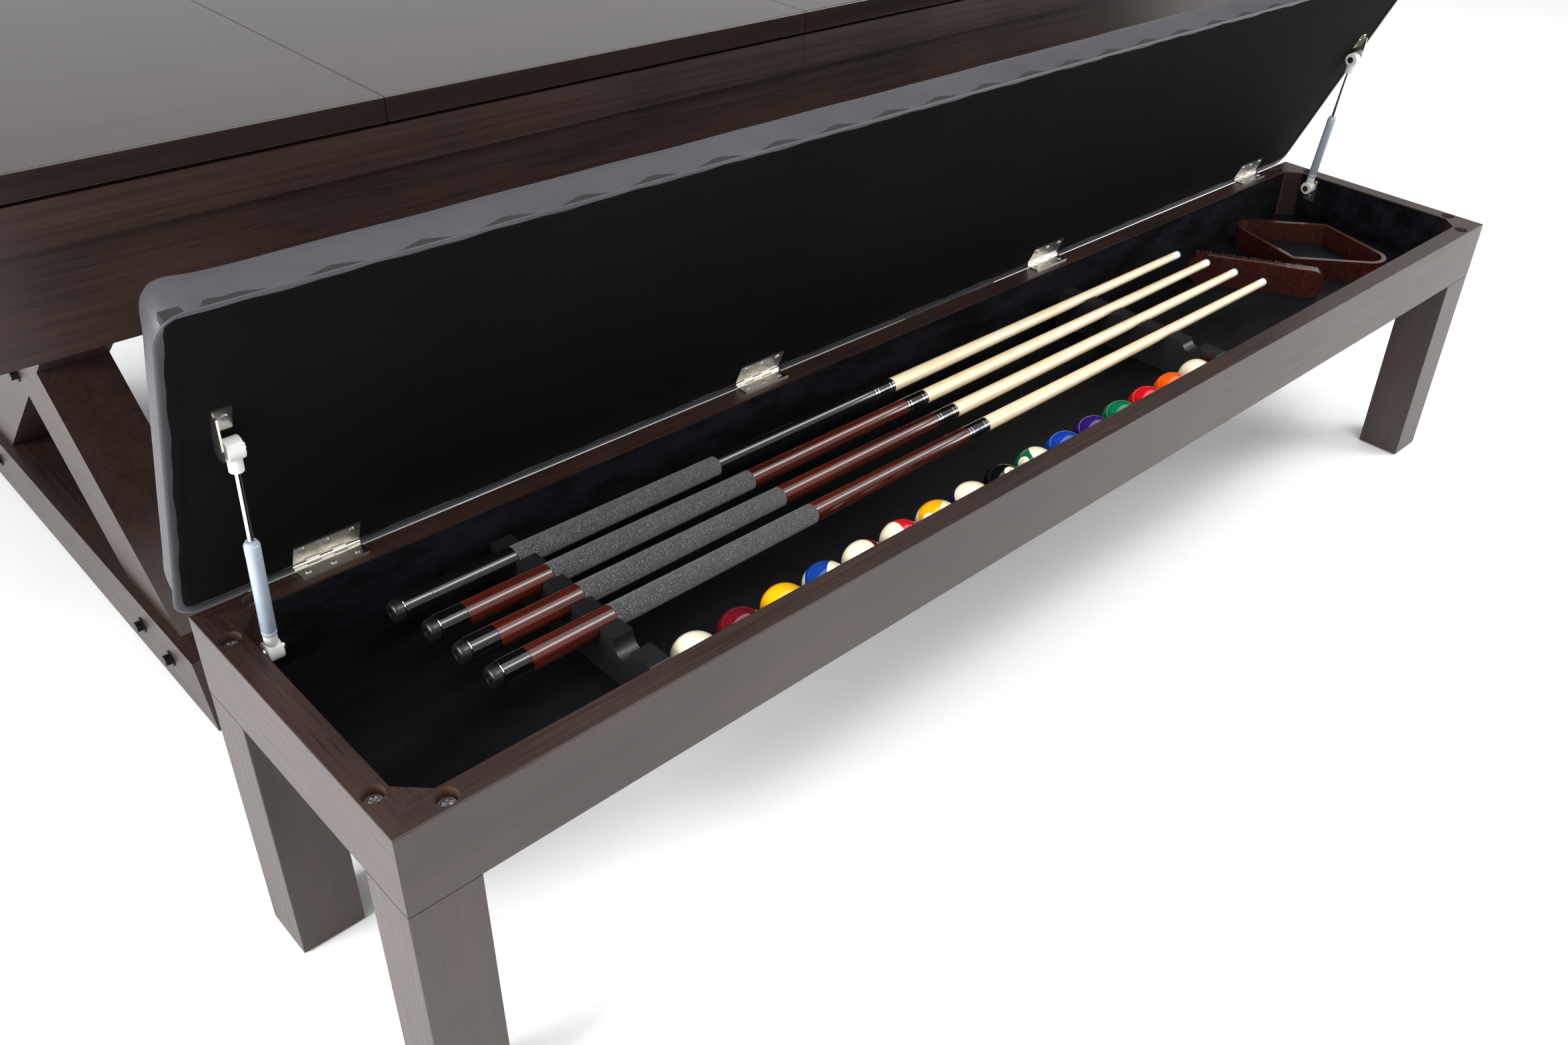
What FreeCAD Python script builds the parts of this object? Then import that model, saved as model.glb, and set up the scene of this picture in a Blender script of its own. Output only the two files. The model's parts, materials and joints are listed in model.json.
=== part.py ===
import FreeCAD, Part
import math
import os
import Sketcher
from FreeCAD import Placement, Rotation, Vector

# A convertible dining and pool table with its matching storage bench.
# Row frame: +X along the table, +Y from the bench towards the table, +Z up, floor at z = 0,
# origin under the middle of the whole set. Lengths are in millimetres, angles in degrees.

sizes = {
    # bench
    "bench_left": (-976.0, "x of the bench's left face"),
    "bench_front": (-990.5, "y of the bench's front face"),
    "bench_length": (2134.0, "84 inch bench"),
    "bench_depth": (400.0, "front to back"),
    "bench_height": (457.0, "floor to the rim, 18 inch"),
    "apron_height": (100.0, "height of the storage box's boards"),
    "board": (30.0, "thickness of the box's boards"),
    "well_depth": (85.0, "rim to the storage floor"),
    "floor_panel": (12.0, "thickness of the storage floor"),
    "lining": (1.2, "felt lining of the walls"),
    "corner_block": (28.0, "legs of the triangular corner blocks"),
    "leg_size": (76.0, "square leg"),
    "glide_height": (3.0, "nylon glide under each leg"),
    "glide_radius": (14.0, "nylon glide"),
    "ease": (1.5, "eased edges of the boards"),
    "hole_inset": (15.0, "leg bolt from the board's outer face"),
    "hole_along": (60.0, "leg bolt from the bench's corner"),
    "hole_radius": (11.5, "counterbore in the rim"),
    "hole_depth": (14.0, "counterbore in the rim"),
    "bolt_radius": (4.0, "leg bolt shank"),
    "bolt_length": (126.0, "leg bolt under its head"),
    "bolt_head_radius": (8.0, "leg bolt head"),
    "bolt_head": (5.0, "leg bolt head height"),
    # hinges, measured from the hinge axis
    "axis_back": (4.0, "hinge axis behind the bench's back face"),
    "axis_up": (2.5, "hinge axis above the rim"),
    "lid_open": (66.5, "lid angle from closed, as modelled"),
    "hinge_first": (150.0, "middle of the first hinge from the bench's left face"),
    "hinge_pitch": (613.0, "hinge spacing"),
    "hinge_length": (75.0, "length of a hinge"),
    "knuckle_radius": (3.0, "outside of the barrel"),
    "pin_radius": (1.9, "hinge pin"),
    "pin_play": (0.05, "radial clearance on pins"),
    "leaf": (1.6, "leaf thickness"),
    "leaf_gap": (4.0, "leaf edge from the axis"),
    "box_leaf_width": (22.0, "leaf on the rim"),
    "lid_leaf_width": (33.0, "leaf on the lid"),
    "screw_radius": (1.6, "wood screw shank"),
    "screw_length": (11.0, "wood screw under its head"),
    "screw_head_radius": (3.6, "wood screw head"),
    "screw_head": (1.3, "wood screw head height"),
    # lid
    "cover_sheet": (0.8, "dust cover under the lid"),
    "lid_board": (15.0, "plywood seat board"),
    "lid_board_length": (2130.0, "plywood seat board"),
    "lid_board_depth": (411.0, "plywood seat board"),
    "lid_board_rear": (5.0, "board's rear edge in front of the hinge axis"),
    "cushion_length": (2154.0, "padded seat"),
    "cushion_depth": (430.0, "padded seat"),
    "cushion_height": (66.0, "padded seat, over the board"),
    "cushion_rear": (-6.0, "cushion's rear face in front of the hinge axis"),
    "cushion_corner": (30.0, "corner radius in plan"),
    "cushion_edge": (18.0, "radius of the top edge"),
    # gas struts, positions from the bench's left, front and floor
    "strut_x": (46.0, "strut plane from the bench's end face"),
    "low_pivot_y": (320.0, "lower pivot"),
    "low_pivot_z": (438.5, "lower pivot"),
    "high_pivot_back": (252.0, "upper pivot in front of the hinge axis, lid closed"),
    "high_pivot_down": (10.0, "upper pivot under the hinge axis, lid closed"),
    "eye_radius": (11.0, "end fitting"),
    "eye_width": (16.0, "end fitting"),
    "pivot_radius": (4.0, "pivot pin"),
    "neck_radius": (6.8, "neck of the end fittings"),
    "tube_radius": (7.5, "strut cylinder"),
    "tube_bore": (6.0, "strut cylinder"),
    "tube_start": (22.0, "cylinder from the lower pivot"),
    "tube_end": (141.5, "cylinder nose from the lower pivot"),
    "rod_radius": (3.0, "strut rod"),
    "piston_start": (112.0, "piston from the lower pivot, strut long"),
    "piston_height": (6.0, "piston"),
    "plate": (2.0, "steel of the brackets"),
    # cue cradles and cues
    "cradle_butt_x": (325.5, "middle of the cradle under the butts"),
    "cradle_tip_x": (1372.6, "middle of the cradle under the shafts"),
    "cradle_width": (26.0, "along the cues"),
    "cradle_front": (55.5, "y of the cradle's front end"),
    "cradle_back": (348.0, "y of the cradle's back end"),
    "cradle_post": (58.0, "height of the posts"),
    "cue_first_y": (155.5, "first cue"),
    "cue_pitch": (52.0, "spacing of the cues"),
    "butt_notch_radius": (14.4, "notch under a butt"),
    "butt_notch_bottom": (38.2, "its lowest line over the storage floor"),
    "tip_notch_radius": (12.5, "notch under a shaft"),
    "tip_notch_bottom": (46.5, "its lowest line over the storage floor"),
    "cue_butt_z": (52.17, "cue axis over the storage floor at its butt"),
    "cue_drop": (-0.0024, "fall of a cue along its length"),
    # balls, rack and brush
    "ball_radius": (28.575, "57.15 mm ball"),
    "ball_gap": (0.3, "clear of the floor"),
    "ball_off_wall": (5.2, "clear of the well's front wall"),
    "ball_first_x": (380.0, "first ball"),
    "ball_pitch": (63.3, "spacing of the balls"),
    "rack_height": (35.0, "diamond rack"),
    "rack_wall": (8.0, "diamond rack"),
    "diamond_side": (198.8, "outside, to the sharp corners"),
    "rack_corner": (36.6, "outside radius of the acute corners"),
    "rack_blunt": (10.0, "outside radius of the obtuse corners"),
    "brush_length": (229.0, "table brush"),
    "brush_width": (50.0, "table brush, standing on its long edge"),
    "brush_block": (18.0, "thickness of the wooden block"),
    "brush_corner": (22.0, "corner radius of the block"),
    "brush_groove": (2.2, "radius of the finger grooves"),
    "bristle_length": (28.0, "bristles behind the block"),
    "bristle_inset": (8.0, "bristles inside the block's edge"),
    "brush_x": (1728.8, "middle of the block's face"),
    "brush_y": (207.7, "middle of the block's face"),
    # table
    "table_mid_y": (275.5, "y of the table's centre line"),
    "table_length": (2440.0, "outside of the rails"),
    "table_width": (1424.0, "outside of the rails"),
    "top_height": (875.0, "floor to the dining top"),
    "top_thickness": (28.0, "dining top"),
    "top_overhang": (3.0, "dining top over the rails"),
    "top_panels": (4.0, "sections of the dining top"),
    "top_joint": (1.0, "joint between the sections"),
    "pad_height": (4.0, "felt pads between top and rails"),
    "rail_height": (46.0, "rails over the cloth"),
    "rail_width": (154.0, "wooden part of a rail"),
    "rubber_width": (50.0, "rail cushion"),
    "rubber_nose": (36.0, "nose over the cloth"),
    "cloth": (0.8, "bed cloth"),
    "slate": (19.0, "slate bed"),
    "skirt_bottom": (684.0, "floor to the skirt's lower edge"),
    "skirt_thickness": (25.0, "skirt boards"),
    "skirt_setback": (8.0, "skirt behind the rail's face"),
    "pocket_radius": (60.0, "outside of a pocket cup"),
    "pocket_wall": (4.0, "leather"),
    "pocket_depth": (92.0, "cup under the cloth"),
    "pocket_lip": (38.0, "cup over the cloth"),
    "corner_pocket_in": (139.0, "corner pocket from the rails' outer faces"),
    "side_pocket_in": (125.0, "side pocket from the rail's outer face"),
    "joist_width": (60.0, "beams under the slate"),
    "joist_height": (37.0, "beams under the slate"),
    "joist_out": (430.0, "long joist from the centre line"),
    # trestles
    "trestle_inset": (329.0, "outer face from the end of the table"),
    "trestle_depth": (125.0, "beams and arms along the table"),
    "beam_length": (1052.0, "floor and top beams"),
    "floor_beam_top": (100.0, "floor to the top of the floor beam"),
    "foot_pad": (5.0, "rubber pad under the floor beam"),
    "top_beam_bottom": (650.0, "floor to the top beam"),
    "beam_bevel": (39.0, "floor beam's upper end cut back"),
    "arm_foot": (182.0, "length of an arm's foot on the beam"),
    "arm_in": (106.0, "arm's foot from the beam's end"),
    "arm_recess": (13.0, "arm's faces behind the beam's"),
    "hex_across": (17.0, "hex head, across corners"),
    "hex_head": (8.0, "hex head height"),
    "washer_radius": (12.0, "washer"),
    "washer": (2.0, "washer thickness"),
    "hex_shank": (5.0, "trestle bolt"),
    "hex_shank_length": (60.0, "trestle bolt"),
}

doc = FreeCAD.newDocument("PoolTableAndBench")
sheet = doc.addObject("Spreadsheet::Sheet", "Sizes")


class Dim:
    """A sheet value, or arithmetic on sheet values: its number and its expression."""

    def __init__(self, number, text):
        self.number = float(number)
        self.text = text

    def join(self, other, sign, number):
        return Dim(number, "(%s %s %s)" % (self.text, sign, as_dim(other).text))

    def __add__(self, other):
        return self.join(other, "+", self.number + as_dim(other).number)

    def __sub__(self, other):
        return self.join(other, "-", self.number - as_dim(other).number)

    def __mul__(self, other):
        return self.join(other, "*", self.number * as_dim(other).number)

    def __truediv__(self, other):
        return self.join(other, "/", self.number / as_dim(other).number)

    def __neg__(self):
        return self * -1.0


def as_dim(value):
    return value if isinstance(value, Dim) else Dim(value, repr(float(value)))


def fill_sheet():
    table = {}
    for row, (alias, (number, note)) in enumerate(sizes.items(), start=1):
        sheet.set("A%d" % row, alias)
        sheet.set("B%d" % row, repr(number))
        sheet.setAlias("B%d" % row, alias)
        sheet.set("C%d" % row, note)
        table[alias] = Dim(number, "Sizes." + alias)
    doc.recompute()
    return table


S = fill_sheet()
nodes = []


def keep(obj, label):
    """Names an object as a finished piece."""
    obj.Label = label
    nodes.append(obj)
    return obj


def place(obj, x, y, z):
    for axis, value in zip("xyz", (x, y, z)):
        obj.setExpression("Placement.Base." + axis, as_dim(value).text)


def make(kind, name, **props):
    obj = doc.addObject(kind, name)
    for key, value in props.items():
        obj.setExpression(key, as_dim(value).text)
    return obj


def box(name, size, at):
    obj = make("Part::Box", name, Length=size[0], Width=size[1], Height=size[2])
    place(obj, *at)
    return obj


TURNS = {
    "x": Rotation(Vector(0, 1, 0), 90),
    "y": Rotation(Vector(1, 0, 0), -90),
    "z": Rotation(),
}


def cylinder(name, radius, height, at, axis="z"):
    obj = make("Part::Cylinder", name, Radius=radius, Height=height)
    obj.Placement = Placement(Vector(), TURNS[axis])
    place(obj, *at)
    return obj


def cone(name, radii, height, at, turn):
    obj = make("Part::Cone", name, Radius1=radii[0], Radius2=radii[1], Height=height)
    obj.Placement = Placement(Vector(), turn)
    place(obj, *at)
    return obj


def cut(name, base, tools):
    tools = tools if isinstance(tools, list) else [tools]
    tool = tools[0] if len(tools) == 1 else group(name + "_tools", tools)
    obj = doc.addObject("Part::Cut", name)
    obj.Base = base
    obj.Tool = tool
    return obj


def fuse(name, parts):
    obj = doc.addObject("Part::MultiFuse", name)
    obj.Shapes = parts
    obj.Refine = True
    return obj


def common(name, base, tool):
    obj = doc.addObject("Part::Common", name)
    obj.Base = base
    obj.Tool = tool
    return obj


def group(name, parts):
    obj = doc.addObject("Part::Compound", name)
    obj.Links = parts
    return obj


def round_edges(name, base, radius, wanted):
    """Fillets the edges of base whose two end points pass the test."""
    doc.recompute()
    picked = []
    for number, edge in enumerate(base.Shape.Edges, start=1):
        ends = [vertex.Point for vertex in edge.Vertexes]
        if len(ends) == 2 and wanted(ends[0], ends[1]):
            picked.append((number, as_dim(radius).number, as_dim(radius).number))
    obj = doc.addObject("Part::Fillet", name)
    obj.Base = base
    obj.Edges = picked
    return obj


def round_rings(name, base, radius):
    """Fillets the circular edges of a cylinder."""
    doc.recompute()
    obj = doc.addObject("Part::Fillet", name)
    obj.Base = base
    obj.Edges = [(number, radius, radius) for number, edge in enumerate(base.Shape.Edges, start=1)
                 if edge.isClosed()]
    return obj


def upright(a, b):
    return abs(a.x - b.x) < 0.01 and abs(a.y - b.y) < 0.01


def sketch_outline(sketch, points):
    """A closed outline of straight lines with every corner driven by the sheet."""
    count = len(points)
    corners = [Vector(as_dim(u).number, as_dim(v).number, 0) for u, v in points]
    for k in range(count):
        sketch.addGeometry(Part.LineSegment(corners[k], corners[(k + 1) % count]), False)
    for k in range(count):
        sketch.addConstraint(Sketcher.Constraint("Coincident", k, 2, (k + 1) % count, 1))
    for k, (u, v) in enumerate(points):
        drive_corner(sketch, k, "DistanceX", as_dim(u))
        drive_corner(sketch, k, "DistanceY", as_dim(v))


def drive_corner(sketch, line, kind, value):
    if abs(value.number) < 1e-9:
        axis = -2 if kind == "DistanceX" else -1
        sketch.addConstraint(Sketcher.Constraint("PointOnObject", line, 1, axis))
        return
    index = sketch.addConstraint(Sketcher.Constraint(kind, -1, 1, line, 1, value.number))
    sketch.setExpression("Constraints[%d]" % index, value.text)


def padded_outline(name, plane, points, depth, at):
    """A body: an outline on one of its origin planes, padded along that plane's normal."""
    body = doc.addObject("PartDesign::Body", name)
    sketch = body.newObject("Sketcher::SketchObject", name + "_outline")
    face = [f for f in body.Origin.OriginFeatures if f.Role == plane][0]
    sketch.AttachmentSupport = (face, [""])
    sketch.MapMode = "FlatFace"
    sketch_outline(sketch, points)
    pad = body.newObject("PartDesign::Pad", name + "_pad")
    pad.Profile = sketch
    pad.setExpression("Length", as_dim(depth).text)
    body.Tip = pad
    place(body, *at)
    return body


# ---------------------------------------------------------------- bench box


def bench_point(x, y, z):
    return (S["bench_left"] + x, S["bench_front"] + y, as_dim(z))


def leg_bolt_spots():
    """Bolt centres from the bench's front left corner: two over each leg."""
    length = S["bench_length"]
    depth = S["bench_depth"]
    inset = S["hole_inset"]
    along = S["hole_along"]
    spots = []
    for x_long, x_short in ((along, inset), (length - along, length - inset)):
        for y_long, y_short in ((along, inset), (depth - along, depth - inset)):
            spots.append((x_long, y_short))
            spots.append((x_short, y_long))
    return spots


def leg_bolts():
    bolts = []
    holes = []
    seat = S["bench_height"] - S["hole_depth"]
    for k, (x, y) in enumerate(leg_bolt_spots()):
        shank_at = bench_point(x, y, seat - S["bolt_length"])
        shank = cylinder("bolt_shank_%d" % k, S["bolt_radius"], S["bolt_length"], shank_at)
        head = cylinder("bolt_head_%d" % k, S["bolt_head_radius"], S["bolt_head"],
                        bench_point(x, y, seat))
        bolts.append(fuse("leg_bolt_%d" % k, [shank, head]))
        hole = cylinder("bolt_hole_%d" % k, S["bolt_radius"] + S["pin_play"],
                        S["bolt_length"] + 1, bench_point(x, y, seat - S["bolt_length"]))
        counterbore = cylinder("bolt_counterbore_%d" % k, S["hole_radius"], S["hole_depth"],
                               bench_point(x, y, seat))
        holes.append(hole)
        holes.append(counterbore)
    return group("leg_bolt_set", bolts), group("leg_bolt_holes", holes)


def bench_boards(holes, screws):
    length = S["bench_length"]
    depth = S["bench_depth"]
    board = S["board"]
    height = S["apron_height"]
    bottom = S["bench_height"] - height
    outlines = {
        "front_rail": [(0, 0), (length, 0), (length - board, board), (board, board)],
        "back_rail": [(board, depth - board), (length - board, depth - board),
                      (length, depth), (0, depth)],
        "left_end": [(0, 0), (board, board), (board, depth - board), (0, depth)],
        "right_end": [(length, 0), (length, depth), (length - board, depth - board),
                      (length - board, board)],
    }
    boards = {}
    for label, outline in outlines.items():
        body = padded_outline(label + "_board", "XY_Plane", outline, height,
                              bench_point(0, 0, bottom))
        eased = round_edges(label + "_eased", body, S["ease"], outer_edge)
        tools = [holes, screws] if label != "front_rail" else [holes]
        boards[label] = cut(label, eased, tools)
    keep(group("long_board_set", [boards["front_rail"], boards["back_rail"]]),
         "bench_long_boards")
    keep(group("end_board_set", [boards["left_end"], boards["right_end"]]), "bench_end_boards")


def outer_edge(a, b):
    """The long level edges and the standing corners on the bench's outside."""
    def outside(p):
        left = S["bench_left"].number
        front = S["bench_front"].number
        right = left + S["bench_length"].number
        back = front + S["bench_depth"].number
        on_x = abs(p.x - left) < 0.01 or abs(p.x - right) < 0.01
        on_y = abs(p.y - front) < 0.01 or abs(p.y - back) < 0.01
        return on_x, on_y
    ax, ay = outside(a)
    bx, by = outside(b)
    long_side = (ay and by and abs(a.y - b.y) < 0.01 and abs(a.x - b.x) > 1000)
    end_side = (ax and bx and abs(a.x - b.x) < 0.01 and abs(a.y - b.y) > 200)
    return long_side or end_side


def bench_well(cradle_feet):
    length = S["bench_length"]
    depth = S["bench_depth"]
    board = S["board"]
    inner_length = length - board * 2
    inner_depth = depth - board * 2
    floor_top = S["bench_height"] - S["well_depth"]
    panel = box("storage_floor_panel", (inner_length, inner_depth, S["floor_panel"]),
                bench_point(board, board, floor_top - S["floor_panel"]))
    keep(panel, "bench_floor")
    blocks = []
    size = S["corner_block"]
    corners = [(board, board, 1, 1), (length - board, board, -1, 1),
               (board, depth - board, 1, -1), (length - board, depth - board, -1, -1)]
    for k, (x, y, right, back) in enumerate(corners):
        points = [(x, y), (x + size * right, y), (x, y + size * back)]
        blocks.append(padded_outline("corner_block_%d" % k, "XY_Plane", points,
                                     S["well_depth"], bench_point(0, 0, floor_top)))
    block_set = keep(group("corner_block_set", blocks), "bench_corner_blocks")
    wall = S["lining"]
    rise = S["well_depth"] - 2
    outer = box("lining_outer", (inner_length, inner_depth, rise),
                bench_point(board, board, floor_top))
    inner = box("lining_inner", (inner_length - wall * 2, inner_depth - wall * 2, rise + 2),
                bench_point(board + wall, board + wall, floor_top - 1))
    keep(cut("lining_ring", outer, [inner, block_set] + cradle_feet), "well_lining")


def bench_legs(holes):
    leg = S["leg_size"]
    length = S["bench_length"]
    depth = S["bench_depth"]
    height = S["bench_height"] - S["apron_height"] - S["glide_height"]
    glides = []
    legs = []
    for side, x in (("left", as_dim(0)), ("right", length - leg)):
        for end, y in (("front", as_dim(0)), ("back", depth - leg)):
            label = "leg_%s_%s" % (end, side)
            blank = box(label + "_blank", (leg, leg, height), bench_point(x, y, S["glide_height"]))
            eased = round_edges(label + "_eased", blank, S["ease"], upright)
            legs.append(cut(label, eased, [holes]))
            glides.append(cylinder("glide_%s_%s" % (end, side), S["glide_radius"],
                                   S["glide_height"], bench_point(x + leg / 2, y + leg / 2, 0)))
    keep(group("leg_set", legs), "bench_legs")
    keep(group("glide_set", glides), "bench_glides")


# ---------------------------------------------------------------- hinges


def hinge_axis():
    return bench_point(0, S["bench_depth"] + S["axis_back"], S["bench_height"] + S["axis_up"])


def at_axis(x, y, z):
    base = hinge_axis()
    return (base[0] + x, base[1] + y, base[2] + z)


def local(x, y, z):
    """A place on the closed lid, counted from the left end of the hinge axis."""
    return (as_dim(x), as_dim(y), as_dim(z))


def hinge_middles():
    return [S["hinge_first"] + S["hinge_pitch"] * k for k in range(4)]


def leaf_set(name, where, sides, low, width):
    """Leaves with their own knuckles: sides lists which of the five knuckles they carry."""
    leaves = []
    knuckle = S["hinge_length"] / 5
    for k, middle in enumerate(hinge_middles()):
        start = middle - S["hinge_length"] / 2
        tag = "%s_%d" % (name, k)
        parts = [box(tag + "_plate", (S["hinge_length"], width - S["leaf_gap"], S["leaf"]),
                     where(start, -width, low))]
        for j in sides:
            x = start + knuckle * j + 0.15
            parts.append(cylinder("%s_knuckle_%d" % (tag, j), S["knuckle_radius"],
                                  knuckle - 0.3, where(x, 0, 0), "x"))
            parts.append(box("%s_tab_%d" % (tag, j),
                             (knuckle - 0.3, S["leaf_gap"] + 0.5, S["leaf"]),
                             where(x, -S["leaf_gap"] - 0.5, low)))
        bore = cylinder(tag + "_bore", S["pin_radius"] + S["pin_play"], S["hinge_length"] + 2,
                        where(start - 1, 0, 0), "x")
        leaves.append(cut(tag, fuse(tag + "_blank", parts), [bore]))
    return leaves


def pins():
    parts = []
    for k, middle in enumerate(hinge_middles()):
        start = middle - S["hinge_length"] / 2
        parts.append(cylinder("hinge_pin_%d" % k, S["pin_radius"], S["hinge_length"] + 1,
                              at_axis(start - 0.5, 0, 0), "x"))
    keep(group("hinge_pin_set", parts), "hinge_pins")


def screw(name, where, x, y, seat, up):
    """A pan-head wood screw through z = seat, its point upwards when up is 1."""
    shank_low = seat if up > 0 else seat - S["screw_length"]
    head_low = seat - S["screw_head"] if up > 0 else seat
    shank = cylinder(name + "_shank", S["screw_radius"], S["screw_length"],
                     where(x, y, shank_low))
    head = cylinder(name + "_head", S["screw_head_radius"], S["screw_head"],
                    where(x, y, head_low))
    return fuse(name, [shank, head])


def hinge_screws(name, where, seat, up, row, stagger):
    screws = []
    for k, middle in enumerate(hinge_middles()):
        for j in (-1, 0, 1):
            y = row if j else row + stagger
            screws.append(screw("%s_%d_%d" % (name, k, j + 1), where, middle + 28.0 * j, -y,
                                seat, up))
    return screws


# ---------------------------------------------------------------- gas struts


def strut_sides():
    """Each strut's name, its plane along x, and the way its pins point."""
    return (("left", S["strut_x"], 1), ("right", S["bench_length"] - S["strut_x"], -1))


def span(x, away, near, far):
    """The low x of a piece that reaches from near to far along the way the pins point."""
    return x + near if away > 0 else x - far


def box_brackets():
    """The fixed brackets in the well, each with its pivot pin."""
    half = S["eye_width"] / 2
    wall_gap = S["strut_x"] - S["board"] - S["lining"]
    plates = []
    screws = []
    for side, x, away in strut_sides():
        tag = side + "_box_bracket"
        y = S["low_pivot_y"]
        z = S["low_pivot_z"]
        plate = box(tag + "_plate", (S["plate"], 22, 40),
                    bench_point(span(x, away, -wall_gap, -wall_gap + S["plate"]), y - 11, z - 28))
        boss_reach = wall_gap - S["plate"] - half - 0.4
        boss = cylinder(tag + "_boss", 6, boss_reach,
                        bench_point(span(x, away, -wall_gap + S["plate"],
                                         -wall_gap + S["plate"] + boss_reach), y, z), "x")
        pin_start = -wall_gap + S["plate"]
        pin = cylinder(tag + "_pin", S["pivot_radius"], wall_gap - S["plate"] + half + 1,
                       bench_point(span(x, away, pin_start, half + 1), y, z), "x")
        head = cylinder(tag + "_head", 5.5, 2,
                        bench_point(span(x, away, half + 1, half + 3), y, z), "x")
        hole_z = z - 20
        bolt = cylinder(tag + "_screw_shank", S["screw_radius"], S["screw_length"],
                        bench_point(span(x, away, -wall_gap + S["plate"] - S["screw_length"],
                                         -wall_gap + S["plate"]), y, hole_z), "x")
        bolt_head = cylinder(tag + "_screw_head", S["screw_head_radius"], S["screw_head"],
                             bench_point(span(x, away, -wall_gap + S["plate"],
                                              -wall_gap + S["plate"] + S["screw_head"]),
                                         y, hole_z), "x")
        wood_screw = fuse(tag + "_screw", [bolt, bolt_head])
        screws.append(wood_screw)
        plates.append(cut(tag, fuse(tag + "_blank", [plate, boss, pin, head]), [wood_screw]))
    return plates, screws


def lid_brackets():
    """Bent steel brackets on the lid, each an ear and a foot, in the closed lid's place."""
    half = S["eye_width"] / 2
    under = S["axis_up"]
    back = S["high_pivot_back"]
    down = S["high_pivot_down"]
    brackets = []
    screws = []
    for side, x, away in strut_sides():
        tag = side + "_lid_bracket"
        ear_near = -half - 2.4 - S["plate"]
        ear_far = -half - 2.4
        outline = [(-back - 40, under), (-back - 40, under - 8), (-back - 9, -down - 7),
                   (-back + 4, -down - 9), (-back + 10, -down), (-back + 4, under - 3),
                   (-back - 10, under)]
        ear = padded_outline(tag + "_ear", "YZ_Plane", outline, S["plate"],
                             local(span(x, away, ear_near, ear_far), 0, 0))
        foot = box(tag + "_foot", (18, 28, S["plate"]),
                   local(span(x, away, ear_near, ear_near + 18), -back - 44, under - S["plate"]))
        boss = cylinder(tag + "_boss", 5, 2.2,
                        local(span(x, away, ear_far, ear_far + 2.2), -back, -down), "x")
        screws += [screw("%s_screw" % tag, local, span(x, away, ear_near + 11, ear_near + 11),
                         -back - 32, under - S["plate"], 1)]
        blank = fuse(tag + "_blank", [ear, foot, boss])
        brackets.append(cut(tag, blank, [screws[-1]]))
    return brackets, screws


def strut_ends():
    """Lower and upper pivots in the bench's y and z, with the lid open as modelled."""
    low = Vector(0, S["low_pivot_y"].number, S["low_pivot_z"].number)
    angle = math.radians(-S["lid_open"].number)
    y = -S["high_pivot_back"].number
    z = -S["high_pivot_down"].number
    axis_y = S["bench_depth"].number + S["axis_back"].number
    axis_z = S["bench_height"].number + S["axis_up"].number
    high = Vector(0, axis_y + y * math.cos(angle) - z * math.sin(angle),
                  axis_z + y * math.sin(angle) + z * math.cos(angle))
    return low, high


def strut(side, x):
    """One gas strut, drawn upright from its lower pivot, then leaned to its upper pivot."""
    low, high = strut_ends()
    reach = (high - low).Length
    lean = Rotation(Vector(0, 0, 1), high - low)
    half = S["eye_width"] / 2
    tag = side + "_strut"

    def lean_over(label, shape):
        leaned = group(label + "_leaned", [shape])
        leaned.Placement = Placement(Vector(), lean)
        place(leaned, *bench_point(x, S["low_pivot_y"], S["low_pivot_z"]))
        keep(leaned, label)

    def eye(name, height, neck_low, neck_length, bore):
        barrel = cylinder(name + "_barrel", S["eye_radius"], S["eye_width"],
                          (-half, 0, height), "x")
        barrel = round_rings(name + "_barrel_eased", barrel, 1.1)
        neck = cylinder(name + "_neck", S["neck_radius"], neck_length, (0, 0, neck_low))
        pivot = cylinder(name + "_pivot", S["pivot_radius"] + S["pin_play"],
                         S["eye_width"] + 2, (-half - 1, 0, height), "x")
        return cut(name, fuse(name + "_blank", [barrel, neck]), [pivot] + bore)

    lean_over(tag + "_lower_eye", eye(tag + "_low", 0, 7, S["tube_start"] - 7, []))
    nose = 4
    body_length = S["tube_end"] - S["tube_start"] - nose
    tube = cylinder(tag + "_tube", S["tube_radius"], body_length, (0, 0, S["tube_start"]))
    collar = cylinder(tag + "_nose", S["tube_radius"] - 0.8, nose, (0, 0, S["tube_end"] - nose))
    bore = cylinder(tag + "_bore", S["tube_bore"], body_length - 4,
                    (0, 0, S["tube_start"] + 3))
    throat = cylinder(tag + "_throat", S["rod_radius"] + S["pin_play"], 20,
                      (0, 0, S["tube_end"] - 15))
    lean_over(tag + "_cylinder",
              cut(tag + "_hollow", fuse(tag + "_case", [tube, collar]), [bore, throat]))
    rod_top = reach - 12
    shaft = cylinder(tag + "_shaft", S["rod_radius"], rod_top - S["piston_start"].number,
                     (0, 0, S["piston_start"]))
    piston = cylinder(tag + "_piston", S["tube_bore"] - S["pin_play"], S["piston_height"],
                      (0, 0, S["piston_start"]))
    rod = fuse(tag + "_rod_solid", [shaft, piston])
    away = 1 if side == "left" else -1
    pin_x = -half if away > 0 else -half - 2
    head_x = half if away > 0 else -half - 2
    pin = cylinder(tag + "_pin_shank", S["pivot_radius"], S["eye_width"] + 2, (pin_x, 0, reach),
                   "x")
    head = cylinder(tag + "_pin_head", 5.5, 2, (head_x, 0, reach), "x")
    lean_over(tag + "_rod", group(tag + "_rod_set", [rod, fuse(tag + "_pin", [pin, head])]))
    lean_over(tag + "_upper_eye", eye(tag + "_high", reach, reach - 24, 18, [rod]))


# ---------------------------------------------------------------- lid


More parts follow.
